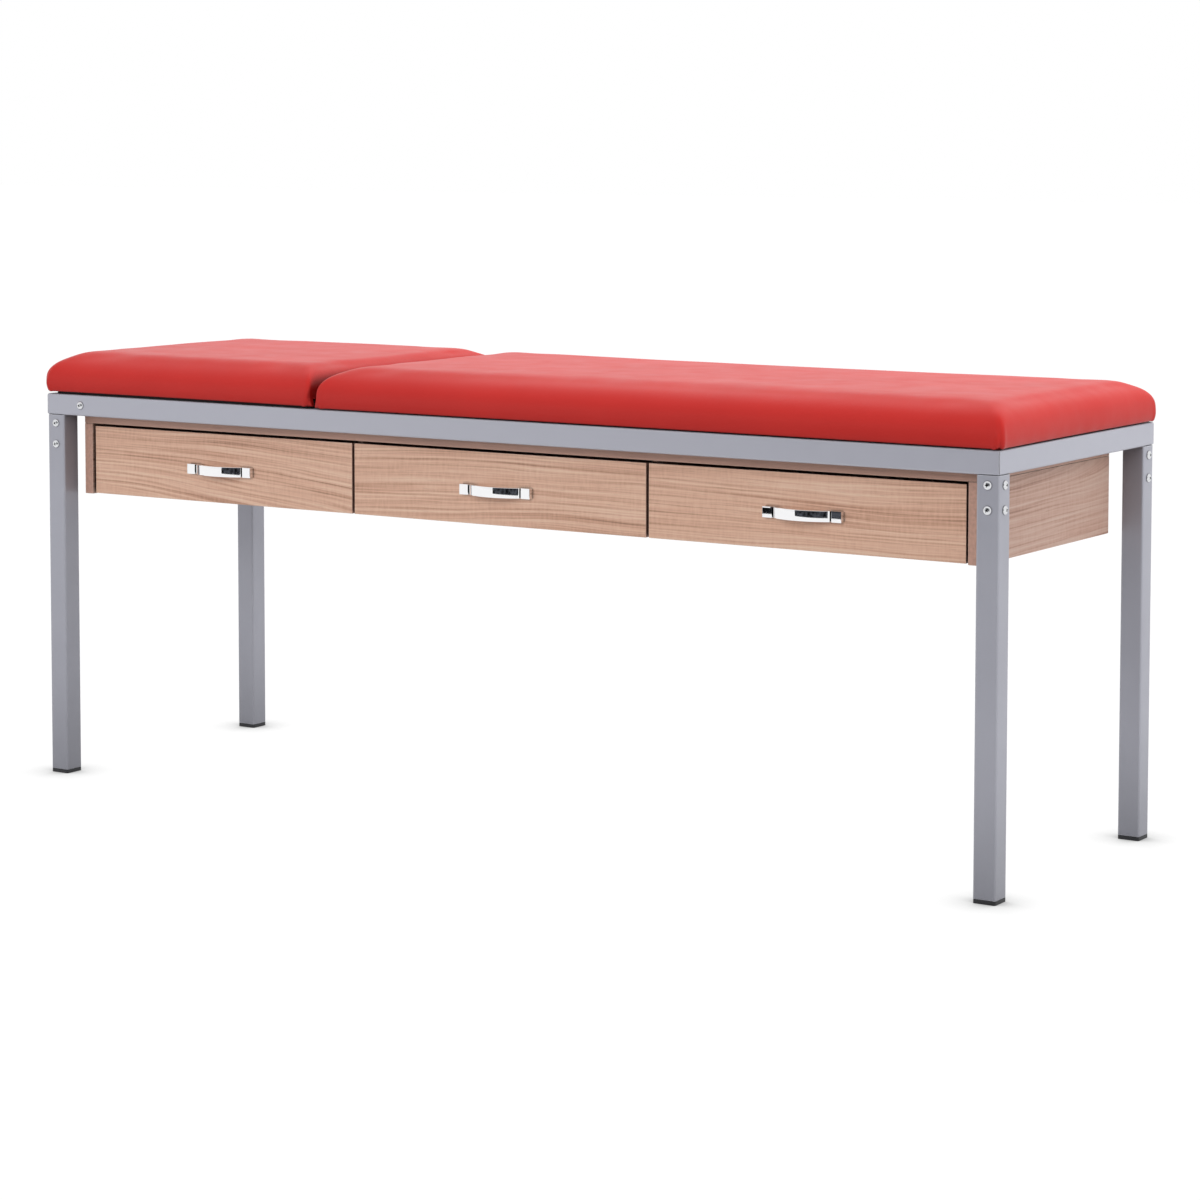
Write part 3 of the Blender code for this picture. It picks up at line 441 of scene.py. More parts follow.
def laminate(name, look, along, face, heart, flat, tint=(1.0, 1.0, 1.0)):
    """Wood-print laminate with long grain lines round a heart, fine pores, plain edge bands, a painted
    highlight along the edges and painted shade in the gaps.

    along is the axis of the grain, face the axis that looks out of the panel, heart the rings' middle
    (along the grain, across it), flat their stretch along the grain and tint a share of each channel.
    """
    made = Finish(name)
    turn = (0.0, 0.0, 0.0) if along == "X" else (0.0, 0.0, -math.pi / 2)
    grain = made.mapped((1.0, 1.0, 1.0), Rotation=turn)
    split = made.split(grain)
    calc = made.math

    def cloud(scale, source=grain, detail=1.0, **values):
        return made.noise(1.0, detail, made.mapped(scale, source, **values))

    across = calc("ADD", split["Z"], calc("MULTIPLY", split["Y"], LEAN))
    sway = cloud((1.2, 2.0, 4.0))
    waver = cloud((5.0, 16.0, 40.0), detail=2.0)
    moved = calc("ADD", across, made.spread(sway, 0.2, 0.8, -0.020, 0.020))
    moved = calc("ADD", moved, made.spread(waver, 0.2, 0.8, -0.0020, 0.0020))
    rise = calc("SUBTRACT", moved, heart[1])
    run = calc("MULTIPLY", calc("SUBTRACT", split["X"], heart[0]), flat)
    squares = [calc("MULTIPLY", side, side) for side in (rise, run)]
    reach = calc("SQRT", calc("ADD", *squares))
    flow = made.out("ShaderNodeCombineXYZ", {"X": split["X"], "Y": reach})
    streak = made.noise(1.0, 3.0, made.mapped((2.4, 2.8 * look.rings, 1.0), flow), 0.60)
    ridge = cloud((0.8, look.rings, 1.0), flow, Location=(3.0, 7.0, 0.0))
    lines = made.spread(ridge, 0.32, 0.45, 1.0, 0.0)
    band = cloud((0.7, 14.0, 1.0), flow)
    vivid = cloud((2.0, 20.0, 1.0), flow, Location=(5.0, 2.0, 0.0))
    figure = cloud((210.0, 45.0, 45.0))
    tone = calc("MULTIPLY_ADD", streak, 1.35, calc("MULTIPLY_ADD", band, 0.55, -0.42))
    tone = calc("ADD", tone, calc("MULTIPLY", figure, 0.22))
    tone = calc("SUBTRACT", tone, calc("MULTIPLY", lines, made.spread(vivid, 0.3, 0.7, 0.05, 0.28)))
    shades = ((0.16, look.dark), (0.40, look.middle), (0.62, look.light), (0.86, look.pale))
    wood = made.ramp(tone, [(place, [a * b for a, b in zip(shade, tint)]) for place, shade in shades])
    pores = made.spread(cloud((38.0, 500.0, 850.0), detail=2.0), 0.60, 0.74)
    wood = made.mix(calc("MULTIPLY", pores, 0.22), wood, look.dark)
    on_face = calc("GREATER_THAN", calc("ABSOLUTE", made.split(made.facing)[face]), 0.7)
    band_streak = cloud((5.0, 190.0, 190.0), detail=3.0)
    edge = made.mix(made.spread(band_streak, 0.3, 0.7), scaled(look.edge, 0.80), look.edge)
    # Painted highlight along the panels' edges.
    painted_shading = calc("MULTIPLY", made.rounded(look.corner)[1], 0.7)
    board = made.mix(painted_shading, made.mix(on_face, edge, wood), look.corner_light)
    relief = calc("ADD", calc("MULTIPLY", streak, 0.5), calc("SUBTRACT", 1.0, pores))
    # Painted shade darkens the gaps; a painted highlight lights the edges.
    return made.set(
        base_color=made.mix(made.open_share(0.010, 0.30, 0.70), look.crevice, board),
        roughness=made.spread(streak, 0.2, 0.8, 0.50, 0.40),
        normal=made.bump(relief, 0.00012, 0.25),
    )


def drawer_board(look):
    """White faced board with a faint pearl structure."""
    made = Finish("drawer_board")
    pearl = made.noise(800.0, 3.0)
    cloud = made.noise(12.0, 3.0)
    return made.set(
        base_color=made.mix(made.spread(cloud, 0.3, 0.7), scaled(look.white, 0.96), look.white),
        roughness=made.spread(pearl, 0.3, 0.7, 0.40, 0.52),
        normal=made.bump(pearl, 0.00006, 0.4),
    )


def dress(finish, *names):
    """Give packed nodes a finish in their own material slots."""
    for name in names:
        for slot in frame["nodes"][name].material_slots:
            slot.material = finish


def settings():
    return bpy.context.scene.couch


def linked(name, data):
    """A new object in the scene."""
    made = bpy.data.objects.new(name, data)
    bpy.context.scene.collection.objects.link(made)
    return made


def add_piece(name, mesh, finish):
    made = linked(name, mesh)
    mesh.materials.append(finish)
    return made


def take_modifiers(obj):
    """Replace an object's mesh by what its modifiers make of it."""
    bpy.context.view_layer.update()
    graph = bpy.context.evaluated_depsgraph_get()
    made = bpy.data.meshes.new_from_object(obj.evaluated_get(graph), depsgraph=graph)
    old = obj.data
    obj.modifiers.clear()
    obj.data = made
    bpy.data.meshes.remove(old)


def cut(obj, mesh, solver):
    """Take a mesh's room out of an object."""
    for finish in obj.data.materials:
        mesh.materials.append(finish)
    tool = linked("tool", mesh)
    cutting = obj.modifiers.new("cut", "BOOLEAN")
    set_up(cutting, operation="DIFFERENCE", solver=solver, object=tool)
    take_modifiers(obj)
    bpy.data.objects.remove(tool)
    bpy.data.meshes.remove(mesh)


def mesh_from(bm, name):
    bmesh.ops.recalc_face_normals(bm, faces=bm.faces)
    mesh = bpy.data.meshes.new(name)
    bm.to_mesh(mesh)
    bm.free()
    return mesh


def join_rings(bm, first, second):
    """Make the wall between two closed rings of points."""
    for here in range(len(first)):
        after = (here + 1) % len(first)
        bm.faces.new((first[here], second[here], second[after], first[after]))


def solid(name, rings, split_ends=False):
    """A solid through closed rings of points, with flat ends."""
    bm = bmesh.new()
    rings = [[bm.verts.new(point) for point in ring] for ring in rings]
    for low, high in zip(rings, rings[1:]):
        join_rings(bm, low, high)
    ends = [bm.faces.new(ring) for ring in (rings[0], rings[-1])]
    if split_ends:
        bmesh.ops.triangulate(bm, faces=ends)
    return mesh_from(bm, name)


def rounded_outline(low, high, radius, steps):
    """A rectangle with round corners between two corners."""
    points = []
    centres = ((high.x, high.y, 1, 1), (low.x, high.y, -1, 1), (low.x, low.y, -1, -1), (high.x, low.y, 1, -1))
    for corner, (x, y, side_x, side_y) in enumerate(centres):
        for step in range(steps + 1):
            angle = (corner + step / steps) * math.pi / 2
            points.append((x + radius * (math.cos(angle) - side_x), y + radius * (math.sin(angle) - side_y)))
    return points


def smooth(mesh, angle):
    mesh.shade_smooth()
    mesh.set_sharp_from_angle(angle=math.radians(angle))


class PadShape:
    """The plan and the profile of one padded section, taken from its packed node."""

    def __init__(self, node, look, joint):
        low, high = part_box(node)
        self.look, self.joint = look, joint
        middle = (low + high) / 2
        self.half_x = (high.x - low.x) / 2
        self.half_y = (high.y - low.y) / 2
        self.hem = low.z
        self.foot = np.array((middle.x, middle.y, self.hem))
        self.height = high.z - low.z - look.slack

    def radius(self, share):
        """Corner radius of the ring at a share of the shoulder: it grows, then fades over the flat top."""
        look = self.look
        grown = look.corner + look.corner_ease * look.shoulder * min(share, 1.0)
        return grown * min(1.0, max(0.0, 2.0 - share))

    def place(self, x, y, share, half_x, half_y):
        """Move a point of a square ring to the ring with round corners and drawn-in sides."""
        side_x, side_y = math.copysign(1.0, x), math.copysign(1.0, y)
        radius = self.radius(share) * (self.look.joint_corner if side_x == self.joint else 1.0)
        on_end = abs(abs(x) - half_x) < abs(abs(y) - half_y)
        left = half_y - abs(y) if on_end else half_x - abs(x)
        if left < radius:
            turn = (1.0 - left / radius) * math.pi / 4
            if not on_end:
                turn = math.pi / 2 - turn
            x = side_x * (half_x - radius + radius * math.cos(turn))
            y = side_y * (half_y - radius + radius * math.sin(turn))
            return x, y
        reach, half = (abs(y), half_y) if on_end else (abs(x), half_x)
        share = reach / max(half - radius, 1e-6)
        pull = self.look.side_pull * (half_y / self.half_y) * (1.0 - share * share)
        return (x - side_x * pull, y) if on_end else (x, y - side_y * pull)

    def rise(self, share_x, share_y):
        """Height of the top above the hem at the shares of the two shoulders."""
        look = self.look
        turn = share_x / max(share_x + share_y, 1e-6)
        fullness = look.fullness + (look.long_fullness - look.fullness) * turn
        across = 1.0 - (1.0 - min(share_x, share_y, 1.0)) ** fullness
        return look.bulge + (self.height - look.bulge) * across ** (1.0 / fullness)

    def near_joint(self, x):
        """1 at the joint, falling to 0 over the flare's run."""
        run = self.look.joint_run
        return min(1.0, max(0.0, (self.joint * x - self.half_x + run) / run))

    def top(self, x, y):
        """A point of the top, from a point of the flat grid."""
        wide_x, wide_y = self.look.shoulder, self.look.long_shoulder
        share_x = max(0.0, (self.half_x - abs(x)) / wide_x)
        share_y = max(0.0, (self.half_y - abs(y)) / wide_y)
        share = min(share_x, share_y)
        flat_x, flat_y = self.place(x, y, share, self.half_x - share * wide_x, self.half_y - share * wide_y)
        flat_x -= self.joint * self.look.joint_ease * self.near_joint(x)
        return flat_x, flat_y, self.rise(share_x, share_y)

    def lines(self, half, shoulder):
        """Grid lines across the pad, close over the rounded edges and even between them."""
        steps = 11
        edge = [shoulder * (1.0 - math.cos(step / steps * math.pi / 2)) for step in range(steps + 1)]
        flat = half - shoulder
        count = max(2, round(2 * flat / self.look.spacing))
        low = [-half + inset for inset in edge]
        between = [-flat + 2 * flat * step / count for step in range(1, count)]
        return low + between + [-x for x in reversed(low)]

    def shell(self, name):
        """The closed cover, standing on its hem at the pad's place and flared at the joint's foot."""
        look = self.look
        bm = bmesh.new()
        columns = self.lines(self.half_x, look.shoulder)
        rows = self.lines(self.half_y, look.long_shoulder)
        grid = [[bm.verts.new(self.top(x, y)) for x in columns] for y in rows]
        for low, high in zip(grid, grid[1:]):
            for here in range(len(columns) - 1):
                bm.faces.new((low[here], low[here + 1], high[here + 1], high[here]))
        last_x, last_y = len(columns) - 1, len(rows) - 1
        around = [(x, 0) for x in range(last_x)] + [(last_x, y) for y in range(last_y)]
        around += [(x, last_y) for x in range(last_x, 0, -1)] + [(0, y) for y in range(last_y, 0, -1)]
        rim = [grid[y][x] for x, y in around]
        # The shares of the bulge's height, down to the hem. The last ring lies inside the hem.
        for share in (0.72, 0.46, 0.22, 0.0, None):
            below = 1.0 - (share or 0.0)
            tuck = look.hem_tuck * below ** 2
            inset = 3 * tuck if share is None else tuck
            height = look.bulge * (1.0 - below)
            ring = []
            half_x, half_y = self.half_x - inset, self.half_y - inset
            for x, y in around:
                flat_x = columns[x] * half_x / self.half_x
                flat_y = rows[y] * half_y / self.half_y
                flat_x, flat_y = self.place(flat_x, flat_y, inset / look.shoulder, half_x, half_y)
                flare = tuck + look.joint_flare * below - look.joint_ease * (1.0 - below)
                flat_x += self.joint * flare * self.near_joint(flat_x)
                ring.append(bm.verts.new((flat_x, flat_y, height)))
            join_rings(bm, rim, ring)
            rim = ring
        bmesh.ops.triangulate(bm, faces=[bm.faces.new(rim[::-1])])
        bmesh.ops.translate(bm, vec=self.foot.tolist(), verts=bm.verts)
        return mesh_from(bm, name)


def points_of(mesh, trait="co"):
    flat = np.zeros(len(mesh.vertices) * 3)
    mesh.vertices.foreach_get(trait, flat)
    return flat.reshape(-1, 3)


def set_points(mesh, points):
    mesh.vertices.foreach_set("co", points.ravel())
    mesh.update()


def eased(moves, mesh, rounds):
    """Even out moves between neighbouring points."""
    pairs = np.zeros(len(mesh.edges) * 2, np.int64)
    mesh.edges.foreach_get("vertices", pairs)
    first, second = pairs.reshape(-1, 2).T
    count = np.bincount(pairs, minlength=len(moves))[:, None]
    for _ in range(rounds):
        total = np.zeros_like(moves)
        np.add.at(total, first, moves[second])
        np.add.at(total, second, moves[first])
        moves = 0.5 * moves + 0.5 * total / count
    return moves


def blow_up(pad, shape):
    """Blow the cover up with cloth, its hem held, and keep its outward moves up to a cap."""
    look = shape.look
    held = pad.vertex_groups.new(name="held")
    start = points_of(pad.data)
    outward = points_of(pad.data, "normal")
    for index, point in enumerate(start):
        height = (point[2] - shape.hem) / look.bulge
        if height < 1.0:
            held.add([index], 1.0 - 0.8 * max(0.0, height), "REPLACE")
    cover = pad.modifiers.new("cover", "CLOTH")
    cloth = set_up(
        cover.settings, quality=6, mass=0.35, tension_stiffness=20.0, compression_stiffness=20.0,
        shear_stiffness=8.0, bending_stiffness=1.5, use_pressure=True, uniform_pressure_force=look.pressure,
        vertex_group_mass=held.name,
    )
    cloth.effector_weights.gravity = 0.0
    set_up(cover.point_cache, frame_start=1, frame_end=look.steps)
    for step in range(1, look.steps + 1):
        bpy.context.scene.frame_set(step)
    graph = bpy.context.evaluated_depsgraph_get()
    swollen = points_of(pad.evaluated_get(graph).data)
    bpy.context.scene.frame_set(1)
    pad.modifiers.remove(cover)
    pad.vertex_groups.clear()
    reach = np.maximum(0.0, np.sum((swollen - start) * outward, axis=1, keepdims=True))
    reach = look.swell_cap * np.tanh(eased(reach, pad.data, 6) / look.swell_cap)
    set_points(pad.data, start + reach * outward)


def crease(pad, shape):
    """Soft waves over the top, a fold at each corner and the pull of the hem."""
    look = shape.look
    mesh = pad.data
    points = points_of(mesh)
    moved = points.copy()
    groove, ridge_off, ridge = 0.0030, 0.0075, 0.0050
    pull_pitch = 118.0
    for index, vertex in enumerate(mesh.vertices):
        along = points[index][0]
        x, y, z = points[index] - shape.foot
        if z < 0.0005:
            continue
        wave = noise.noise(Vector((3.1 * along, 7.0 * y + 2.0, 5.0 * z)))
        wave += 0.5 * noise.noise(Vector((9.0 * along + 4.0, 15.0 * y, 11.0 * z)))
        depth = look.wave * wave * min(1.0, z / shape.height)
        gap_x = shape.half_x - look.fold - abs(x)
        gap_y = shape.half_y - look.fold - abs(y)
        if gap_x < 0.0 and gap_y < 0.0:
            off = (math.atan2(-gap_y, -gap_x) - math.pi / 4) * look.fold
            low = max(0.0, 1.0 - z / (0.75 * shape.height))
            depth -= look.pleat * low * math.exp(-((off / groove) ** 2))
            depth += 0.5 * look.pleat * low * math.exp(-(((abs(off) - ridge_off) / ridge) ** 2))
        side = max(0.0, 1.0 - z / (1.6 * look.bulge))
        pull = math.sin(along * pull_pitch) * math.sin(y * pull_pitch + 0.7)
        depth += 0.35 * look.wave * side * pull * min(1.0, z / 0.004)
        moved[index] += np.array(vertex.normal) * depth
    set_points(mesh, moved)


def cut_pocket(pad, shape, board, open_side):
    """Take the board's room, open at the joint, out of the pad."""
    low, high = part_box(board)
    gap = Vector((SEAT, SEAT, SEAT))
    low -= gap
    high += gap
    (high if open_side > 0 else low).x += open_side * 2 * shape.look.shoulder
    outline = rounded_outline(low, high, POCKET_CORNER, 6)
    rings = [[(x, y, z) for x, y in outline] for z in (shape.hem - POCKET_DROP, high.z)]
    before = len(pad.data.polygons)
    cut(pad, solid("pocket", rings), "MANIFOLD")
    if len(pad.data.polygons) < before / 2:
        raise RuntimeError("the pocket took away too much of " + pad.name)


class COUCH_OT_cushions(bpy.types.Operator):
    """Make the two padded sections and put them over their boards"""

    bl_idname = "couch.cushions"
    bl_label = "Padded sections"

    def execute(self, context):
        look = settings().cushion
        cover = vinyl_cover(look)
        for section, body, open_side in (("head", "head_section", 1), ("main", "frame", -1)):
            node = section + "_cushion"
            shape = PadShape(node, look, open_side)
            pad = add_piece(section + "_pad", shape.shell(section + "_pad"), cover)
            swell = blow_up
            swell(pad, shape)
            set_up(pad.modifiers.new("finer", "SUBSURF"), levels=1, render_levels=1)
            take_modifiers(pad)
            crease(pad, shape)
            cut_pocket(pad, shape, section + "_board", open_side)
            smooth(pad.data, 45)
            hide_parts(node)
            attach(pad, body)
        return {"FINISHED"}


class COUCH_OT_frame(bpy.types.Operator):
    """Paint the tubes and finish the feet, the boards and the metal fittings"""

    bl_idname = "couch.frame"
    bl_label = "Frame, boards and fittings"

    def execute(self, context):
        look = settings().frame
        tubes = ["rail_front", "rail_right", "rail_back", "rail_left", "cross_bar_head", "cross_bar_foot"]
        tubes += [kind + corner for corner in CORNERS for kind in ("leg_", "leg_socket_")]
        dress(tube_paint(look), *tubes)
        dress(foot_plastic(look), *["foot_cap_" + corner for corner in CORNERS])
        dress(board_cloth(look), "head_board", "main_board")
        fittings = ["hinge_leaf_main", "hinge_leaf_head", "hinge_pin", "prop_stay"]
        fittings += ["prop_" + kind + side for kind in ("bracket_", "rack_") for side in ("front", "back")]
        fittings += [drawer + "_drawer_runner_" + side for drawer in DRAWERS for side in ("left", "right")]
        dress(zinc_plate(look), *fittings)
        return {"FINISHED"}


class COUCH_OT_drawer_unit(bpy.types.Operator):
    """Give the drawer unit its laminate and the drawer boxes their white board"""

    bl_idname = "couch.drawer_unit"
    bl_label = "Drawer unit"

    def execute(self, context):
        look = settings().unit
        # The middle of the rings, along each front and up, and their stretch along the grain.
        hearts = ((-0.78, 0.47, 0.15), (0.35, 0.38, 0.10), (0.30, 0.86, 0.08))
        for drawer, (along, up, flat) in zip(DRAWERS, hearts):
            front = laminate("laminate_" + drawer, look, "X", "Y", (along, up - LEAN * FRONT_Y), flat)
            dress(front, drawer + "_drawer_front")
        dress(laminate("laminate_top", look, "X", "Z", (0.0, 0.90), 0.06), "unit_top")
        dress(laminate("laminate_back", look, "X", "Y", (0.2, 0.42), 0.06), "unit_back")
        # The ends' laminate is darkened as painted shade where the side lamp lights them more, and tinted a
        # little pinker.
        ends = laminate("laminate_ends", look, "Y", "X", (-0.12, 0.098), 0.12, (0.70, 0.71, 0.77))
        dress(ends, "unit_side_left", "unit_side_right", "unit_divider_left", "unit_divider_middle")
        parts = ("side_left", "side_right", "back", "bottom")
        dress(drawer_board(look), *[drawer + "_drawer_" + part for drawer in DRAWERS for part in parts])
        return {"FINISHED"}


def bow_height(x, reach, low, high):
    """Height of the bow's arc above the drawer front, at a distance from its middle."""
    rise = high - low
    radius = (reach * reach + rise * rise) / (2 * rise)
    return high - radius + math.sqrt(radius * radius - x * x)


def handle_outline(look, length, bow):
    """The handle seen from above: pads, grooves and the bow between them, outwards negative."""
    half = length / 2
    pad = half - look.pad
    bow_end = pad - look.groove
    inner_end = bow_end - look.band
    outer, inner = [], []
    for step in range(look.steps + 1):
        share = 1 - 2 * step / look.steps
        outer.append((share * bow_end, -bow_height(share * bow_end, bow_end, look.pad_rise, bow)))
        inner.append((-share * inner_end, -bow_height(share * inner_end, inner_end, 0.0, bow - look.band)))
    floor = -look.pad_rise + look.groove_depth
    right = [(half, 0.0), (half, -look.pad_rise), (pad, -look.pad_rise), (pad, floor), (bow_end, floor)]
    left = [(-u, v) for u, v in reversed(right)]
    return right + outer + left + inner


class COUCH_OT_handles(bpy.types.Operator):
    """Make the chrome bow handles, with a slightly crowned face, over their packed nodes"""

    bl_idname = "couch.handles"
    bl_label = "Bow handles"

    def execute(self, context):
        look = settings().handle
        finish = handle_chrome(look)
        for drawer in DRAWERS:
            name = drawer + "_drawer_handle"
            low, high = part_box(name)
            length, depth, tall = (top - base for base, top in zip(low, high))
            outline = handle_outline(look, length, depth)
            middle = (low.x + high.x) / 2
            rings = []
            for level in range(look.levels + 1):
                share = 2 * level / look.levels - 1
                swell = 1.0 - look.crown * share * share / depth
                z = (low.z + high.z) / 2 + share * tall / 2
                rings.append([(middle + u, high.y + v * swell, z) for u, v in outline])
            bow = drawer + "_bow_handle"
            handle = add_piece(bow, solid(bow, rings, split_ends=True), finish)
            bevel = handle.modifiers.new("edge", "BEVEL")
            set_up(bevel, width=look.edge, segments=2, angle_limit=math.radians(50))
            take_modifiers(handle)
            smooth(handle.data, 20)
            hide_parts(name)
            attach(handle, drawer + "_drawer")
        return {"FINISHED"}


def pan_head(look):
    """One pan head with a cross recess, its seat at the origin and its crown along +Z."""
    profile = ((1.0, 0.0), (1.0, 0.22), (0.96, 0.42), (0.86, 0.63), (0.70, 0.80), (0.48, 0.92), (0.22, 0.985))
    sides = 28
    angles = [2 * math.pi * side / sides for side in range(sides)]
    rings = []
    for out, up in profile:
        radius = out * look.head
        rings.append([(radius * math.cos(a), radius * math.sin(a), up * look.rise) for a in angles])
    head = linked("pan_head", solid("pan_head", rings))
    # The recess: two crossed arms that narrow downwards.
    size = (2 * look.recess, look.recess_width, 2 * look.recess_depth)
    for turn in (0, 90):
        bm = bmesh.new()
        bmesh.ops.create_cube(bm, size=1.0)
        bmesh.ops.scale(bm, vec=size, verts=bm.verts)
        for vertex in bm.verts:
            if vertex.co.z < 0:
                vertex.co.x *= 0.55
                vertex.co.y *= 0.7
        bmesh.ops.rotate(bm, matrix=Matrix.Rotation(math.radians(turn), 3, "Z"), verts=bm.verts)
        bmesh.ops.translate(bm, vec=(0, 0, look.rise), verts=bm.verts)
        cut(head, mesh_from(bm, "recess"), "EXACT")
    smooth(head.data, 35)
    return head


def screw_tree():
    """Nodes that set a head on every point, turned to face outwards and spun by chance."""
    tree = bpy.data.node_groups.new("screw_setting", "GeometryNodeTree")
    inputs = (("Places", "Geometry"), ("Head", "Object"), ("Seed", "Int"), ("Finish", "Material"))
    for name, kind in inputs:
        tree.interface.new_socket(name, in_out="INPUT", socket_type="NodeSocket" + kind)
    tree.interface.new_socket("Screws", in_out="OUTPUT", socket_type="NodeSocketGeometry")
    made = Nodes(tree)
    given = made.node("NodeGroupInput").outputs
    head = made.node("GeometryNodeObjectInfo", {"Object": given["Head"]}).outputs["Geometry"]
    facing = made.node("GeometryNodeInputNamedAttribute", {"Name": "facing"}, data_type="FLOAT_VECTOR")
    values = {"Vector": facing.outputs["Attribute"]}
    upright = made.out("FunctionNodeAlignRotationToVector", values, axis="Z")
    values = {3: math.pi, "Seed": given["Seed"]}
    spin = made.node("FunctionNodeRandomValue", values, data_type="FLOAT").outputs[1]
    about = made.out("FunctionNodeAxisAngleToRotation", {"Axis": (0, 0, 1), "Angle": spin})
    values = {"Rotation": upright, "Rotate By": about}
    turned = made.out("FunctionNodeRotateRotation", values, rotation_space="LOCAL")
    values = {"Points": given["Places"], "Instance": head, "Rotation": turned}
    heads = made.out("GeometryNodeInstanceOnPoints", values)
    real = made.out("GeometryNodeRealizeInstances", {0: heads})
    plated = made.out("GeometryNodeSetMaterial", {"Geometry": real, "Material": given["Finish"]})
    made.node("NodeGroupOutput", {0: plated})
    return tree


def screw_places(look):
    """Where the frame's screws sit and which way each one faces."""
    places = []
    for corner in CORNERS:
        low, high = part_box("leg_" + corner)
        middle = (low + high) / 2
        y, out_y = (low.y, -1) if corner.startswith("front") else (high.y, 1)
        x, out_x = (low.x, -1) if corner.endswith("left") else (high.x, 1)
        for z in (high.z - look.first, high.z - look.second):
            places.append(((middle.x, y, z), (0, out_y, 0)))
            places.append(((x, middle.y, z), (out_x, 0, 0)))
    for side, out_y in (("front", -1), ("back", 1)):
        low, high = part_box("rail_" + side)
        y = low.y if out_y < 0 else high.y
        places.append(((low.x + look.rack_bolt, y, (low.z + high.z) / 2), (0, out_y, 0)))
    return places


class COUCH_OT_screws(bpy.types.Operator):
    """Set the pan-head screws on the legs and rails with Geometry Nodes"""

    bl_idname = "couch.screws"
    bl_label = "Screws"

    def execute(self, context):
        look = settings().screw
        places = screw_places(look)
        points = bpy.data.meshes.new("screw_places")
        points.from_pydata([place for place, _ in places], [], [])
        facing = points.attributes.new("facing", "FLOAT_VECTOR", "POINT")
        facing.data.foreach_set("vector", [number for _, way in places for number in way])
        # The screws' plate takes painted shade in the recess and round the rim.
        finish = zinc_plate(settings().frame, "screw_plate", metal=0.9, reach=0.005, shut=0.45, clear=0.90)
        screws = linked("frame_screws", points)
        head = pan_head(look)
        tree = screw_tree()
        setter = screws.modifiers.new("setting", "NODES")
        setter.node_group = tree
        values = {"Head": head, "Seed": look.seed, "Finish": finish}
        for item in tree.interface.items_tree:
            if item.name in values:
                setter[item.identifier] = values[item.name]
        take_modifiers(screws)
        bpy.data.objects.remove(head)
        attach(screws, "frame")
        return {"FINISHED"}


def lamp(name, place, aim, size, watts):
    """A soft rectangular lamp that looks at a point, hidden from the camera and from reflections."""
    data = bpy.data.lights.new(name, "AREA")
    set_up(data, shape="RECTANGLE", size=size[0], size_y=size[1], energy=watts)
    turn = (Vector(aim) - Vector(place)).to_track_quat("-Z", "Y").to_euler()
    made = linked(name, data)
    set_up(made, location=place, rotation_euler=turn, visible_camera=False, visible_glossy=False)


def sheet_of(name, size, matrix, material):
    """A flat stage sheet."""
    mesh = bpy.data.meshes.new(name)
    x, y = size[0] / 2, size[1] / 2
    mesh.from_pydata([(-x, -y, 0), (x, -y, 0), (x, y, 0), (-x, y, 0)], [], [(0, 1, 2, 3)])
    mesh.materials.append(material)
    made = linked(name, mesh)
    made.matrix_world = matrix
    return made


def white_floor(look):
    """A white floor: even to the camera apart from the shade under the feet, and plain to the light."""
    made = Finish("white_floor", roughness=0.8)
    made.set(base_color=look.floor)
    # Painted shadow: to the camera the floor's glow darkens under the feet, from how shut in the floor is.
    shade = made.node("ShaderNodeAmbientOcclusion", {"Distance": 0.11}, samples=16).outputs["AO"]
    white = made.spread(made.math("POWER", shade, 1.35), 0.0, 0.94, 0.10, 1.08)
    glow = made.node("ShaderNodeEmission", {"Color": (1.0, 1.0, 1.0), "Strength": white})
    share = made.math("MULTIPLY", made.seen(0.0), 0.94)
    values = {0: share, 1: made.shader.outputs[0], 2: glow.outputs[0]}
    return made.surface(made.node("ShaderNodeMixShader", values))


def dark_card():
    """A dark card that only shows in polished metal."""
    made = Finish("dark_card", roughness=0.9)
    blotch = made.noise(2.4, 3.0, made.mapped((1.0, 1.0, 1.0)))
    made.set(base_color=(0.0, 0.0, 0.0))
    # Painted reflection: faint glowing blotches on the dark card.
    strength = made.spread(blotch, 0.35, 0.70, 0.0, 0.11)
    return made.surface(made.node("ShaderNodeEmission", {"Color": (0.8, 0.85, 1.0), "Strength": strength}))


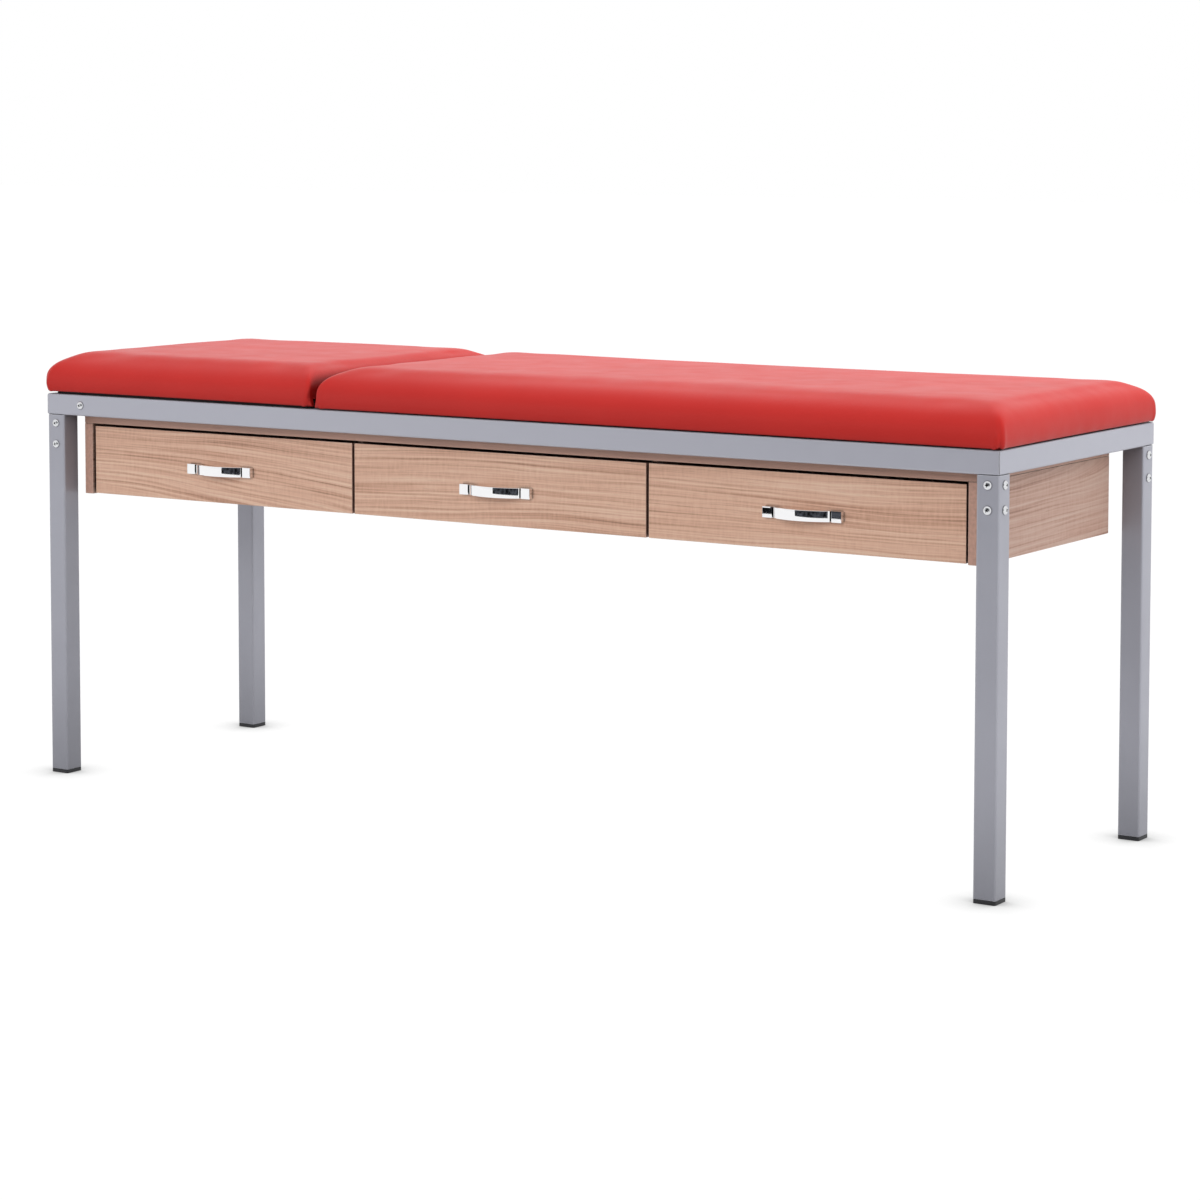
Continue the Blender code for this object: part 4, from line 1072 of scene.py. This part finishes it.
class COUCH_OT_stage(bpy.types.Operator):
    """Set up the camera, the soft lamps, the white world and the floor"""

    bl_idname = "couch.stage"
    bl_label = "Stage"

    def execute(self, context):
        look = settings().stage
        scene = context.scene
        scene.view_settings.view_transform = "Standard"
        data = bpy.data.cameras.new("camera")
        set_up(data, sensor_width=36.0, lens=look.lens, shift_y=look.shift, clip_end=200.0)
        camera = linked("camera", data)
        pitch, roll, turn = look.turn
        tilt = Matrix.Rotation(math.pi / 2 - pitch, 4, "X") @ Matrix.Rotation(roll, 4, "Z")
        camera.matrix_world = Matrix.Translation(look.place) @ Matrix.Rotation(turn, 4, "Z") @ tilt
        scene.camera = camera
        scene.world = bpy.data.worlds.new("white_room")
        scene.world.use_nodes = True
        room = Nodes(scene.world.node_tree)
        back = room.tree.nodes["Background"].inputs
        room.feed(back["Color"], (1.0, 1.0, 1.0))
        room.feed(back["Strength"], room.seen(look.sky))
        sheet_of("floor", (80.0, 80.0), Matrix.Identity(4), white_floor(look))
        upright = Matrix.Translation((0.53, -3.65, 1.3)) @ Matrix.Rotation(math.pi / 2, 4, "X")
        # A sheet seen only in reflections: it paints dark reflections with faint glowing blotches into the
        # polished metal.
        card = sheet_of("card", (4.4, 2.6), upright, dark_card())
        set_up(card, visible_camera=False, visible_diffuse=False, visible_shadow=False)
        lamp("overhead", (0.3, 1.75, 3.0), (0.52, 0.75, 0.7), (3.6, 2.2), 60.0)
        lamp("foot_side", (3.4, 0.6, 1.5), (0.6, 0.0, 0.6), (1.8, 1.8), 33.0)
        lamp("front_left", (-1.865, -2.35, 1.15), (-1.865, 0.0, 1.15), (2.47, 2.2), 14.5)
        lamp("front", (1.0, -3.2, 1.9), (0.3, 0.0, 0.55), (3.0, 1.4), 34.0)
        return {"FINISHED"}


class COUCH_PT_dresser(bpy.types.Panel):
    """Lists the couch's operators and settings"""

    bl_idname = "COUCH_PT_dresser"
    bl_label = "Couch dresser"
    bl_space_type = "VIEW_3D"
    bl_region_type = "UI"
    bl_category = "Couch"

    def draw(self, context):
        for step in STEPS:
            self.layout.operator(step.bl_idname)
        for group in CouchSettings.__annotations__:
            part = getattr(context.scene.couch, group)
            box = self.layout.box()
            box.label(text=group.title())
            for name in part.__annotations__:
                box.prop(part, name)


GROUPS = (
    CushionSettings, FrameSettings, UnitSettings, HandleSettings, ScrewSettings, StageSettings, CouchSettings,
)
STEPS = (
    COUCH_OT_stage, COUCH_OT_frame, COUCH_OT_drawer_unit,
    COUCH_OT_handles, COUCH_OT_screws, COUCH_OT_cushions,
)
CLASSES = GROUPS + STEPS + (COUCH_PT_dresser,)


def register():
    for made in CLASSES:
        bpy.utils.register_class(made)
    bpy.types.Scene.couch = a_group("Couch", CouchSettings)


def unregister():
    del bpy.types.Scene.couch
    for made in reversed(CLASSES):
        bpy.utils.unregister_class(made)


def main():
    register()
    bpy.ops.couch.stage()
    bpy.ops.couch.frame()
    bpy.ops.couch.drawer_unit()
    bpy.ops.couch.handles()
    bpy.ops.couch.screws()
    bpy.ops.couch.cushions()


if __name__ == "__main__":
    main()
